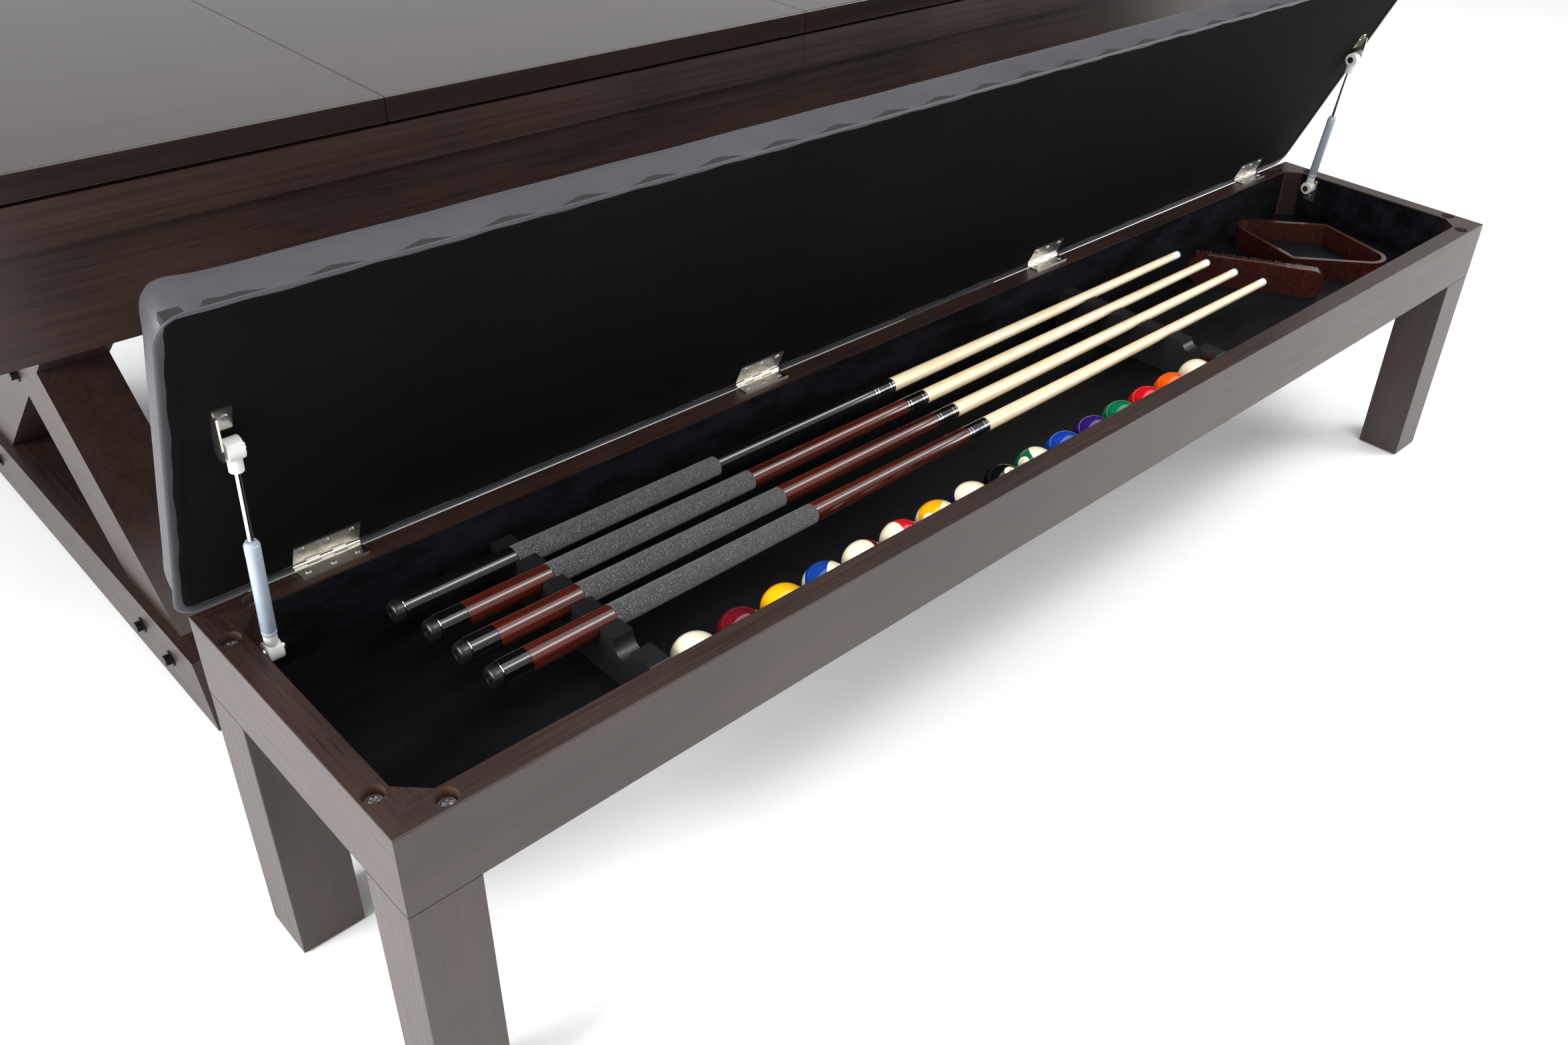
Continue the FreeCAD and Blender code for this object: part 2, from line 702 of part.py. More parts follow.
def lid_parts():
    """The padded lid with its hardware, drawn closed about the hinge axis, then opened."""
    under = S["axis_up"]
    board_low = under + S["cover_sheet"]
    overhang = (S["cushion_length"] - S["bench_length"]) / 2
    board_in = (S["bench_length"] - S["lid_board_length"]) / 2
    leaves = leaf_set("lid_leaf", local, (1, 3), under - S["leaf"], S["lid_leaf_width"])
    screws = hinge_screws("lid_screw", local, under - S["leaf"], 1, 26.0, -1.5)
    brackets, bracket_screws = lid_brackets()
    screws += bracket_screws
    screw_set = group("lid_screw_set", screws)
    blank = box("seat_board_blank", (S["lid_board_length"], S["lid_board_depth"], S["lid_board"]),
                local(board_in, -S["lid_board_rear"] - S["lid_board_depth"], board_low))
    sheet_size = (S["lid_board_length"] - 2, S["lid_board_depth"] - 2, S["cover_sheet"])
    cover = box("dust_cover_blank", sheet_size,
                local(board_in + 1, -S["lid_board_rear"] - S["lid_board_depth"] + 1, under))
    padding = box("padding_blank", (S["cushion_length"], S["cushion_depth"], S["cushion_height"]),
                  local(-overhang, -S["cushion_rear"] - S["cushion_depth"], board_low))
    padding = round_edges("padding_corners", padding, S["cushion_corner"], upright)
    crown = S["cushion_height"].number + board_low.number
    padding = round_edges("padding_crown", padding, S["cushion_edge"],
                          lambda a, b: min(a.z, b.z) > crown - 0.01)
    pieces = [
        ("lid_board", cut("seat_board", blank, [screw_set])),
        ("lid_dust_cover", cut("dust_cover", cover, [screw_set])),
        ("lid_cushion", cut("padding", padding, [blank])),
        ("lid_hinge_leaves", cut("lid_leaf_set", group("lid_leaves_whole", leaves), [screw_set])),
        ("lid_screws", screw_set),
        ("lid_strut_brackets", group("lid_bracket_set", brackets)),
    ]
    for label, shape in pieces:
        opened = group(label + "_opened", [shape])
        opened.Placement = Placement(Vector(), Rotation(Vector(1, 0, 0), -S["lid_open"].number))
        place(opened, *hinge_axis())
        keep(opened, label)


# ---------------------------------------------------------------- contents of the bench


def floor_z(up):
    return S["bench_height"] - S["well_depth"] + up


def cradle(label, x, radius, bottom):
    """A moulded cue cradle: posts with a round-bottomed notch between each two, five in all."""
    front = S["cradle_front"]
    back = S["cradle_back"]
    blank = padded_outline(label + "_blank", "YZ_Plane",
                           [(front, 0), (back, 0), (back, S["cradle_post"]),
                            (front, S["cradle_post"])],
                           S["cradle_width"], bench_point(x - S["cradle_width"] / 2, 0, floor_z(0)))
    low_x = x - S["cradle_width"] / 2 - 1
    through = S["cradle_width"] + 2
    tools = []
    for k in range(-1, 4):
        y = S["cue_first_y"] + S["cue_pitch"] * k
        centre = bottom + radius
        tools.append(cylinder("%s_notch_%d" % (label, k + 1), radius, through,
                              bench_point(low_x, y, floor_z(centre)), "x"))
        tools.append(box("%s_mouth_%d" % (label, k + 1), (through, radius * 2, 60),
                         bench_point(low_x, y - radius, floor_z(centre))))
    eased = round_edges(label + "_eased", blank, 2.5, post_top)
    return keep(cut(label, eased, tools), label)


def post_top(a, b):
    along = abs(a.y - b.y) < 0.01 and abs(a.z - b.z) < 0.01
    return along and min(a.z, b.z) > 372 + 40


CUE_STEPS = [
    ("cue_bumpers", 0.0, 12.0, 13.2, 14.4),
    ("cue_butt_caps", 12.0, 45.0, 14.6, 14.5),
    ("cue_sleeves", 45.0, 150.0, 14.5, 13.9),
    ("cue_wraps", 150.0, 445.0, 13.9, 12.5),
    ("cue_forearms", 445.0, 722.0, 12.4, 10.9),
    ("cue_collars", 722.0, 762.0, 10.9, 10.6),
    ("cue_shafts", 762.0, 1450.0, 10.5, 6.6),
    ("cue_ferrules", 1450.0, 1468.0, 6.6, 6.5),
    ("cue_tips", 1468.0, 1473.0, 6.5, 5.4),
]
CUE_STARTS = [187.0, 183.0, 179.0, 168.0]


def cues():
    """Four two-piece cues lying in the cradles, butt to the left, each row of pieces a node."""
    drop = S["cue_drop"]
    turn = Rotation(Vector(0, 1, 0), 90 + math.degrees(math.atan(drop.number)))
    for label, start, end, radius, end_radius in CUE_STEPS:
        pieces = []
        for k, butt in enumerate(CUE_STARTS):
            at = bench_point(butt + start, S["cue_first_y"] + S["cue_pitch"] * k,
                             floor_z(S["cue_butt_z"] - drop * start))
            pieces.append(cone("%s_%d" % (label, k), (radius, end_radius), end - start, at, turn))
        keep(group(label + "_set", pieces), label)


def ball(name, k):
    obj = make("Part::Sphere", name, Radius=S["ball_radius"])
    y = S["board"] + S["lining"] + S["ball_radius"] + S["ball_off_wall"]
    place(obj, *bench_point(S["ball_first_x"] + S["ball_pitch"] * k, y,
                            floor_z(S["ball_radius"] + S["ball_gap"])))
    return obj


def balls():
    keep(ball("white_ball", 0), "cue_ball")
    keep(group("object_ball_set", [ball("ball_%d" % k, k) for k in range(1, 16)]),
         "object_balls")


def acute(a, b):
    return upright(a, b) and abs(a.y) < 0.01


def obtuse(a, b):
    return upright(a, b) and abs(a.x) < 0.01


def rounded_diamond(name, shrink, low, height):
    """A rhombus of 60 and 120 degree corners with its long diagonal along X."""
    half = S["diamond_side"] * math.cos(math.radians(30)) - as_dim(shrink) * 2
    rise = half * math.tan(math.radians(30))
    body = padded_outline(name, "XY_Plane", [(-half, 0), (0, -rise), (half, 0), (0, rise)],
                          height, (0, 0, low))
    ends = round_edges(name + "_ends", body, S["rack_corner"] - shrink, acute)
    return round_edges(name + "_sides", ends, S["rack_blunt"] - shrink, obtuse)


def diamond_rack():
    outer = rounded_diamond("diamond_outer", 0, 0, S["rack_height"])
    inner = rounded_diamond("diamond_inner", S["rack_wall"], -1, S["rack_height"] + 2)
    turned = group("diamond_turned", [cut("diamond_frame", outer, [inner])])
    turned.Placement = Placement(Vector(), Rotation(Vector(0, 0, 1), -77.8))
    place(turned, *bench_point(1929.5, 217.0, floor_z(0)))
    keep(turned, "diamond_rack")


def lying(a, b):
    """The edges that run through the block's thickness, along Y."""
    return abs(a.x - b.x) < 0.01 and abs(a.z - b.z) < 0.01


def table_brush():
    """A table brush standing on its long edge: the block's face looks along -Y before turning."""
    length = S["brush_length"]
    width = S["brush_width"]
    thick = S["brush_block"]
    inset = S["bristle_inset"]
    half = length / 2
    blank = box("brush_blank", (length, thick, width), (-half, 0, 0))
    blank = round_edges("brush_ends", blank, S["brush_corner"], lying)
    grooves = [cylinder("brush_groove_%d" % k, S["brush_groove"], length - 60,
                        (-half + 30, thick / 2, z), "x") for k, z in enumerate((0, width))]
    block = cut("brush_grooved", blank, grooves)
    tufts = box("bristle_field", (length - inset * 2, S["bristle_length"], width - inset * 2),
                (inset - half, thick, inset))
    tufts = round_edges("bristle_ends", tufts, S["brush_corner"] - inset, lying)
    for label, shape in (("brush_block", block), ("brush_bristles", tufts)):
        turned = group(label + "_turned", [shape])
        turned.Placement = Placement(Vector(), Rotation(Vector(0, 0, 1), -58.5))
        place(turned, *bench_point(S["brush_x"], S["brush_y"], floor_z(0)))
        keep(turned, label)


# ---------------------------------------------------------------- table


def table_point(x, y, z):
    """A place counted from the table's middle; the table is centred on x = 0."""
    return (as_dim(x), S["table_mid_y"] + y, as_dim(z))


def cloth_z():
    return S["top_height"] - S["top_thickness"] - S["pad_height"] - S["rail_height"]


def pocket_spots():
    x = S["table_length"] / 2 - S["corner_pocket_in"]
    y = S["table_width"] / 2 - S["corner_pocket_in"]
    side = S["table_width"] / 2 - S["side_pocket_in"]
    return [(-x, -y), (x, -y), (-x, y), (x, y), (as_dim(0), -side), (as_dim(0), side)]


def pockets():
    cups = []
    holes = []
    low = cloth_z() - S["pocket_depth"]
    height = S["pocket_depth"] + S["pocket_lip"]
    for k, (x, y) in enumerate(pocket_spots()):
        outer = cylinder("cup_%d" % k, S["pocket_radius"], height, table_point(x, y, low))
        inner = cylinder("cup_inside_%d" % k, S["pocket_radius"] - S["pocket_wall"], height,
                         table_point(x, y, low + S["pocket_wall"]))
        notch = pocket_mouth(k, x, y)
        cups.append(cut("pocket_%d" % k, outer, [inner, notch]))
        holes.append(cylinder("pocket_hole_%d" % k, S["pocket_radius"], 400,
                              table_point(x, y, 600)))
    keep(group("pocket_set", cups), "pockets")
    return group("pocket_holes", holes)


def pocket_mouth(k, x, y):
    """The side of a cup that faces the bed is open above the cloth."""
    inward_x = 0 if k > 3 else (1 if x.number < 0 else -1)
    inward_y = 1 if y.number < 0 else -1
    wide = S["pocket_radius"] * 2
    shift = 42.0 if k > 3 else 30.0
    return box("pocket_mouth_%d" % k, (wide, wide, 100),
               table_point(x - S["pocket_radius"] + shift * inward_x,
                           y - S["pocket_radius"] + shift * inward_y, cloth_z()))


def rails(holes):
    half_x = S["table_length"] / 2
    half_y = S["table_width"] / 2
    width = S["rail_width"]
    low = cloth_z()
    boards = []
    for side, y in ((-1, -half_y), (1, half_y - width)):
        for end, x in ((-1, -half_x), (1, as_dim(0.25))):
            name = "side_rail_%d" % len(boards)
            blank = box(name + "_blank", (half_x - 0.25, width, S["rail_height"]),
                        table_point(x, y, low))
            boards.append(blank)
    for x in (-half_x, half_x - width):
        name = "end_rail_%d" % len(boards)
        boards.append(box(name + "_blank", (width, S["table_width"] - width * 2, S["rail_height"]),
                          table_point(x, -half_y + width, low)))
    shaped = [cut("rail_%d" % k, blank, [holes]) for k, blank in enumerate(boards)]
    keep(group("rail_set", shaped), "table_rails")


def rail_cushion(name, length, at, turn):
    """Rubber with a raised nose, its ends cut back at the pocket openings."""
    width = S["rubber_width"]
    nose = S["rubber_nose"]
    profile = [(0, 6), (0, S["rail_height"]), (width * 0.55, S["rail_height"] - 1),
               (width, nose + 3), (width, nose - 4), (width * 0.4, 6)]
    strip = padded_outline(name + "_profile", "YZ_Plane", profile, length, (-length / 2, 0, 0))
    reach = length / 2
    plan = [(-reach, 0), (reach, 0), (reach - width * 0.8, width), (-reach + width * 0.8, width)]
    shape = padded_outline(name + "_plan", "XY_Plane", plan, S["rail_height"] + 2, (0, 0, -1))
    turned = group(name, [common(name + "_cut", strip, shape)])
    turned.Placement = Placement(Vector(), Rotation(Vector(0, 0, 1), turn))
    place(turned, *at)
    return turned


def rail_cushions():
    half_x = S["table_length"] / 2 - S["rail_width"]
    half_y = S["table_width"] / 2 - S["rail_width"]
    clear = 64.0
    side_length = half_x - clear * 2
    end_length = half_y * 2 - clear * 2
    strips = []
    for k, (turn, way) in enumerate(((0, -1), (180, 1))):
        for end in (-1, 1):
            at = table_point(half_x * 0.5 * end, half_y * way, cloth_z())
            strips.append(rail_cushion("side_rubber_%d_%d" % (k, end + 1), side_length, at, turn))
    for turn, way in ((-90, -1), (90, 1)):
        at = table_point(half_x * way, 0, cloth_z())
        strips.append(rail_cushion("end_rubber_%d" % (way + 1), end_length, at, turn))
    keep(group("rail_cushion_set", strips), "rail_cushions")


def bed(holes):
    inset = S["skirt_setback"] + S["skirt_thickness"] + 1
    length = S["table_length"] - inset * 2
    width = S["table_width"] - inset * 2
    low = cloth_z() - S["cloth"] - S["slate"]
    third = length / 3
    slabs = []
    for k in range(3):
        slab = box("slab_%d" % k, (third - 0.4, width, S["slate"]),
                   table_point(length * -0.5 + third * k + 0.2, width * -0.5, low))
        slabs.append(cut("slate_%d" % k, slab, [holes]))
    keep(group("slate_set", slabs), "slate_bed")
    cloth = box("cloth_blank", (length, width, S["cloth"]),
                table_point(length * -0.5, width * -0.5, cloth_z() - S["cloth"]))
    keep(cut("cloth_sheet", cloth, [holes]), "bed_cloth")


def skirts():
    half_x = S["table_length"] / 2 - S["skirt_setback"]
    half_y = S["table_width"] / 2 - S["skirt_setback"]
    thick = S["skirt_thickness"]
    low = S["skirt_bottom"]
    height = cloth_z() - low
    boards = []
    for k, y in enumerate((-half_y, half_y - thick)):
        boards.append(box("long_skirt_%d" % k, (half_x * 2, thick, height),
                          table_point(-half_x, y, low)))
    for k, x in enumerate((-half_x, half_x - thick)):
        boards.append(box("end_skirt_%d" % k, (thick, half_y * 2 - thick * 2, height),
                          table_point(x, -half_y + thick, low)))
    keep(group("side_skirt_set", boards[:2]), "table_side_skirts")
    keep(group("end_skirt_set", boards[2:]), "table_end_skirts")


def joists():
    inner = S["table_length"] / 2 - S["skirt_setback"] - S["skirt_thickness"]
    width = S["joist_width"]
    top = cloth_z() - S["cloth"] - S["slate"]
    low = top - S["joist_height"]
    out = S["joist_out"]
    bars = []
    for k, y in enumerate((-out - width / 2, as_dim(0) - width / 2, out - width / 2)):
        bars.append(box("long_joist_%d" % k, (inner * 2, width, S["joist_height"]),
                        table_point(-inner, y, low)))
    for k, x in enumerate((-450.0, 450.0)):
        for j, y in enumerate((-out + width / 2, width / 2)):
            bars.append(box("tie_%d_%d" % (k, j), (width, out - width, S["joist_height"]),
                            table_point(as_dim(x) - width / 2, y, low)))
    keep(group("joist_set", bars), "bed_joists")
    return low


def trestle_lefts():
    inset = S["trestle_inset"]
    half = S["table_length"] / 2
    return (-half + inset, half - inset - S["trestle_depth"])


def trestles(joist_low):
    length = S["beam_length"]
    depth = S["trestle_depth"]
    floor_top = S["floor_beam_top"]
    high = S["top_beam_bottom"]
    foot = S["arm_foot"]
    pad = S["foot_pad"]
    half = length / 2
    reach = half - S["arm_in"]
    bevel = half - S["beam_bevel"]
    recess = S["arm_recess"]
    side = [(-half, pad), (half, pad), (bevel, floor_top), (-bevel, floor_top)]
    arm = [(-reach, floor_top), (-reach + foot, floor_top), (reach, high), (reach - foot, high)]
    other = [(reach - foot, floor_top), (reach, floor_top), (-reach + foot, high),
             (-reach, high)]
    floor_beams = []
    top_beams = []
    through_arms = []
    halved_arms = []
    pads = []
    for k, left in enumerate(trestle_lefts()):
        floor_beams.append(padded_outline("floor_beam_%d" % k, "YZ_Plane", side, depth,
                                          table_point(left, 0, 0)))
        top_beams.append(box("top_beam_%d" % k, (depth, length, joist_low - high),
                             table_point(left, -half, high)))
        at = table_point(left + recess, 0, 0)
        arm_depth = depth - recess * 2
        through = padded_outline("through_arm_%d" % k, "YZ_Plane", other, arm_depth, at)
        crossing = padded_outline("crossing_arm_%d" % k, "YZ_Plane", arm, arm_depth, at)
        through_arms.append(through)
        halved_arms.append(cut("halved_arm_%d" % k, crossing, [through]))
        for j, y in enumerate((-half + 20, half - 120)):
            pads.append(box("foot_pad_%d_%d" % (k, j), (depth - 20, 100, pad),
                            table_point(left + 10, y, 0)))
    bolts, holes = trestle_bolts()
    bored = cut("floor_beam_bored", group("floor_beam_set", floor_beams), [holes])
    keep(group("beam_set", [bored] + top_beams), "trestle_beams")
    keep(cut("through_arm_bored", group("through_arm_set", through_arms), [holes]),
         "trestle_through_arms")
    keep(group("halved_arm_set", halved_arms), "trestle_halved_arms")
    keep(group("trestle_bolt_set", bolts), "trestle_bolts")
    keep(group("foot_pad_set", pads), "trestle_foot_pads")


def trestle_bolts():
    """Hex bolts with washers on the outer faces: two by each end of a floor beam, two at the
    crossing."""
    half = S["beam_length"] / 2
    recess = S["arm_recess"]
    beam_z = (S["floor_beam_top"] + S["foot_pad"]) / 2
    mid_z = (S["floor_beam_top"] + S["top_beam_bottom"]) / 2
    spots = [(-half + 131, beam_z, 0), (-half + 230, beam_z, 0), (half - 131, beam_z, 0),
             (half - 230, beam_z, 0), (as_dim(31), mid_z - 53, recess),
             (as_dim(-55), mid_z + 22, recess)]
    bolts = []
    holes = []
    outer = S["table_length"] / 2 - S["trestle_inset"]
    for way in (-1, 1):
        for k, (y, z, back) in enumerate(spots):
            face = (outer - back) * way
            bolt, hole = hex_bolt("hex_%d_%d" % (way + 1, k), face, y, z, way)
            bolts.append(bolt)
            holes.append(hole)
    return bolts, group("trestle_bolt_holes", holes)


def hex_bolt(tag, face, y, z, way):
    """A bolt through the plane x = face, its head on the side that way points to."""
    washer_x = face - S["washer"] if way < 0 else face
    head_x = face - S["washer"] - S["hex_head"] if way < 0 else face + S["washer"]
    shank_x = face if way < 0 else face - S["hex_shank_length"]
    washer = cylinder(tag + "_washer", S["washer_radius"], S["washer"],
                      table_point(washer_x, y, z), "x")
    head = make("Part::Prism", tag + "_head", Circumradius=S["hex_across"] / 2,
                Height=S["hex_head"])
    head.Polygon = 6
    head.Placement = Placement(Vector(), TURNS["x"])
    place(head, *table_point(head_x, y, z))
    shank = cylinder(tag + "_shank", S["hex_shank"], S["hex_shank_length"],
                     table_point(shank_x, y, z), "x")
    hole = cylinder(tag + "_hole", S["hex_shank"] + S["pin_play"], S["hex_shank_length"] + 1,
                    table_point(shank_x - (0 if way < 0 else 1), y, z), "x")
    return fuse(tag, [washer, head, shank]), hole


def dining_top():
    over = S["top_overhang"]
    joint = S["top_joint"]
    count = int(S["top_panels"].number)
    whole = S["table_length"] + over * 2
    width = S["table_width"] + over * 2
    step = whole / S["top_panels"]
    low = S["top_height"] - S["top_thickness"]
    for k in range(count):
        label = "dining_top_%d" % (k + 1)
        blank = box(label + "_blank", (step - joint, width, S["top_thickness"]),
                    table_point(whole * -0.5 + step * k + joint / 2, width * -0.5, low))
        keep(round_edges(label + "_eased", blank, 2.0, panel_long_edge), label)


def panel_long_edge(a, b):
    return abs(a.z - b.z) < 0.01 and abs(a.x - b.x) > 100 and a.z > 800


def rail_pads():
    """Felt pads on the rails, four under each section of the dining top."""
    count = int(S["top_panels"].number)
    step = (S["table_length"] + S["top_overhang"] * 2) / S["top_panels"]
    start = S["table_length"] / -2 - S["top_overhang"]
    out = S["table_width"] / 2 - 30
    pads = []
    for k in range(count):
        for j, share in enumerate((0.2, 0.8)):
            for side, y in enumerate((-out, out)):
                at = table_point(start + step * (k + share) - 20, y - 12,
                                 cloth_z() + S["rail_height"])
                pads.append(box("rail_pad_%d_%d_%d" % (k, j, side), (40, 24, S["pad_height"]),
                                at))
    keep(group("rail_pad_set", pads), "rail_pads")


# ---------------------------------------------------------------- the whole set


def build_bench():
    bolts, bolt_holes = leg_bolts()
    keep(bolts, "bench_leg_bolts")
    box_low = -S["axis_up"]
    leaf_top = box_low + S["leaf"]
    screws = hinge_screws("box_screw", at_axis, leaf_top, -1, 13.0, 1.5)
    plates, bracket_screws = box_brackets()
    screws += bracket_screws
    screw_set = keep(group("box_screw_set", screws), "bench_screws")
    bench_boards(bolt_holes, screw_set)
    bench_legs(bolt_holes)
    bench_well([screw_set])
    leaves = leaf_set("box_leaf", at_axis, (0, 2, 4), box_low, S["box_leaf_width"])
    keep(cut("box_leaf_set", group("box_leaves_whole", leaves), [screw_set]),
         "bench_hinge_leaves")
    pins()
    keep(group("box_bracket_set", plates), "bench_strut_brackets")
    cradle("cue_cradle_butt", S["cradle_butt_x"], S["butt_notch_radius"], S["butt_notch_bottom"])
    cradle("cue_cradle_tip", S["cradle_tip_x"], S["tip_notch_radius"], S["tip_notch_bottom"])


def build_contents():
    cues()
    balls()
    diamond_rack()
    table_brush()


def build_table():
    holes = pockets()
    rails(holes)
    rail_cushions()
    bed(holes)
    skirts()
    trestles(joists())
    rail_pads()
    dining_top()


def check_and_write():
    doc.recompute()
    faults = ["%s %s" % (obj.Name, obj.State) for obj in doc.Objects
              if "Invalid" in obj.State or "Error" in obj.State]
    for node in nodes:
        if node.Shape.isNull() or not node.Shape.isValid():
            faults.append("%s has no valid shape" % node.Label)
    if faults:
        raise RuntimeError("; ".join(faults))
    os.makedirs("parts", exist_ok=True)
    for node in nodes:
        node.Shape.exportStep("parts/%s.step" % node.Label)
        print("%-24s %2d solids %12.0f mm3" % (node.Label, len(node.Shape.Solids),
                                              node.Shape.Volume))


build_bench()
for strut_side, strut_plane, _ in strut_sides():
    strut(strut_side, strut_plane)
lid_parts()
build_contents()
build_table()
check_and_write()
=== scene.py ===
import json
import math

import bmesh
import bpy
import numpy as np
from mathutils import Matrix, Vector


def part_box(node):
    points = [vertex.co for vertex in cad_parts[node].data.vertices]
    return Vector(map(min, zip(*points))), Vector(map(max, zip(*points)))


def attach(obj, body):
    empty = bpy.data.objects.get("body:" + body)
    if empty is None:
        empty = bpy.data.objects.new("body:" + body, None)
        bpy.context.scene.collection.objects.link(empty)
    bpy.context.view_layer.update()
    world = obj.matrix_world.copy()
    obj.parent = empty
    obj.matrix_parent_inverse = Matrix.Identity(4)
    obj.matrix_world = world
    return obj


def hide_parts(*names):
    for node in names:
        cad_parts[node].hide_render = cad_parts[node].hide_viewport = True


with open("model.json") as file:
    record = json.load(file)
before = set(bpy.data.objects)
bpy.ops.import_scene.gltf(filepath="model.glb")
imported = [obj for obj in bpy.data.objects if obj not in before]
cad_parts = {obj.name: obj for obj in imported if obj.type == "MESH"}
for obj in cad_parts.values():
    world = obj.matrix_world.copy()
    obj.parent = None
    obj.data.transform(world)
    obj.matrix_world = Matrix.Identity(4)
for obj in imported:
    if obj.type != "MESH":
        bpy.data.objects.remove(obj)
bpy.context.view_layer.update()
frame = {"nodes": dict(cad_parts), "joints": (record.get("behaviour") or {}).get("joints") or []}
nodes = frame["nodes"]
joints = {joint["name"]: joint for joint in frame["joints"]}
hingeAxis = np.array(joints["lid_hinge"]["pos_m"])
lidAngle = math.radians(-66.5)  # how far the lid stands open, about the hinge's direction, x
bench = {"left": -0.976, "front": -0.9905, "length": 2.134, "depth": 0.400, "rim": 0.457, "wellFloor": 0.372}
print("frame loaded:", len(nodes), "nodes")


def linear(code):
    # Each sRGB channel c becomes ((c + 0.055) / 1.055) to the power 2.4, or c / 12.92 where it is small.
    channels = [int(code[k:k + 2], 16) / 255 for k in (1, 3, 5)]
    return tuple(c / 12.92 if c < 0.04045 else ((c + 0.055) / 1.055) ** 2.4 for c in channels) + (1.0,)


def addNode(tree, kind, inputs=None, output=0, stops=(), **settings):
    # Adds a node and gives back one of its outputs. inputs are sockets by name or number, each a value or
    # another node's output; stops are a colour ramp's places with their sRGB colours.
    node = tree.nodes.new("ShaderNode" + kind)
    for key, value in settings.items():
        setattr(node, key, value)
    for key, value in (inputs or {}).items():
        if isinstance(value, bpy.types.NodeSocket):
            tree.links.new(value, node.inputs[key])
        else:
            node.inputs[key].default_value = value
    for k, (position, code) in enumerate(stops):
        band = node.color_ramp.elements
        stop = band[0] if k == 0 else band[-1] if k == len(stops) - 1 else band.new(position)
        stop.position, stop.color = position, linear(code)
    return node.outputs[output]


def newMaterial(name, **sockets):
    # What is the same all over the surface is set on the shader's own sockets.
    material = bpy.data.materials.new(name)
    material.use_nodes = True
    tree = material.node_tree
    shader = tree.nodes["Principled BSDF"]
    for key, value in sockets.items():
        shader.inputs[key.replace("_", " ")].default_value = value
    return material, tree, shader


def connect(tree, shader, **patterns):
    # Links each pattern to the shader's socket of that name.
    for key, value in patterns.items():
        tree.links.new(value, shader.inputs[key.replace("_", " ")])


def patternSpace(tree, scale, rotation=(0, 0, 0)):
    # Object coordinates in metres, turned and then scaled.
    place = addNode(tree, "TexCoord", output="Object")
    return addNode(tree, "Mapping", {"Vector": place, "Scale": scale, "Rotation": rotation})


def gridFaces(rows, columns):
    # Quads between neighbouring rows and columns of a grid of points; the last column joins the first.
    r, c = np.meshgrid(np.arange(rows - 1), np.arange(columns), indexing="ij")
    right = (c + 1) % columns
    quads = np.stack([r * columns + c, r * columns + right, (r + 1) * columns + right,
                      (r + 1) * columns + c], axis=-1)
    return quads.reshape(-1, 4)


def joined(surfaces):
    # Several (points, faces) surfaces as one, each one's faces counted on from the points before it.
    points, faces, offset = [], [], 0
    for pts, quads in surfaces:
        points.append(pts)
        faces.append(quads + offset)
        offset += len(pts)
    return np.concatenate(points), np.concatenate(faces)


def tidyMesh(mesh):
    # Merges doubled points at poles and seams, then turns the faces outwards.
    bm = bmesh.new()
    bm.from_mesh(mesh)
    bmesh.ops.remove_doubles(bm, verts=bm.verts, dist=1e-6)
    bmesh.ops.dissolve_degenerate(bm, dist=1e-7, edges=bm.edges)
    bmesh.ops.recalc_face_normals(bm, faces=bm.faces)
    bm.to_mesh(mesh)
    bm.free()


def newPiece(name, points, faces, material, body, slotName, replaced=()):
    # A mesh from arrays, on its body, instead of the CAD nodes that it replaces; slotName is not used.
    mesh = bpy.data.meshes.new(name)
    mesh.from_pydata(points.tolist(), [], faces.tolist())
    mesh.validate(clean_customdata=False)
    piece = bpy.data.objects.new(name, mesh)
    bpy.context.scene.collection.objects.link(piece)
    tidyMesh(mesh)
    mesh.polygons.foreach_set("use_smooth", np.full(len(mesh.polygons), True))
    mesh.set_sharp_from_angle(angle=math.radians(38))
    mesh.materials.append(material)
    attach(piece, body)
    if replaced:
        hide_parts(*replaced)
    return piece


def frameAlong(direction):
    # Three unit vectors: across, up and along the direction.
    along = np.array(direction, float)
    along /= np.linalg.norm(along)
    helper = np.array([0, 0, 1.0]) if abs(along[2]) < 0.9 else np.array([0, 1.0, 0])
    across = np.cross(helper, along)
    across /= np.linalg.norm(across)
    return across, np.cross(along, across), along


def lathe(profile, start, direction, segments=48):
    # Turns (distance, radius) pairs about a line: point = start + distance * along
    # + radius * (cos a * across + sin a * up), for every pair and every angle a.
    across, up, along = frameAlong(direction)
    s, r = np.array(profile, float).T
    a = np.arange(segments) * 2 * math.pi / segments
    ring = np.cos(a)[:, None] * across + np.sin(a)[:, None] * up
    points = np.array(start) + s[:, None, None] * along + r[:, None, None] * ring
    return points.reshape(-1, 3), gridFaces(len(s), segments)


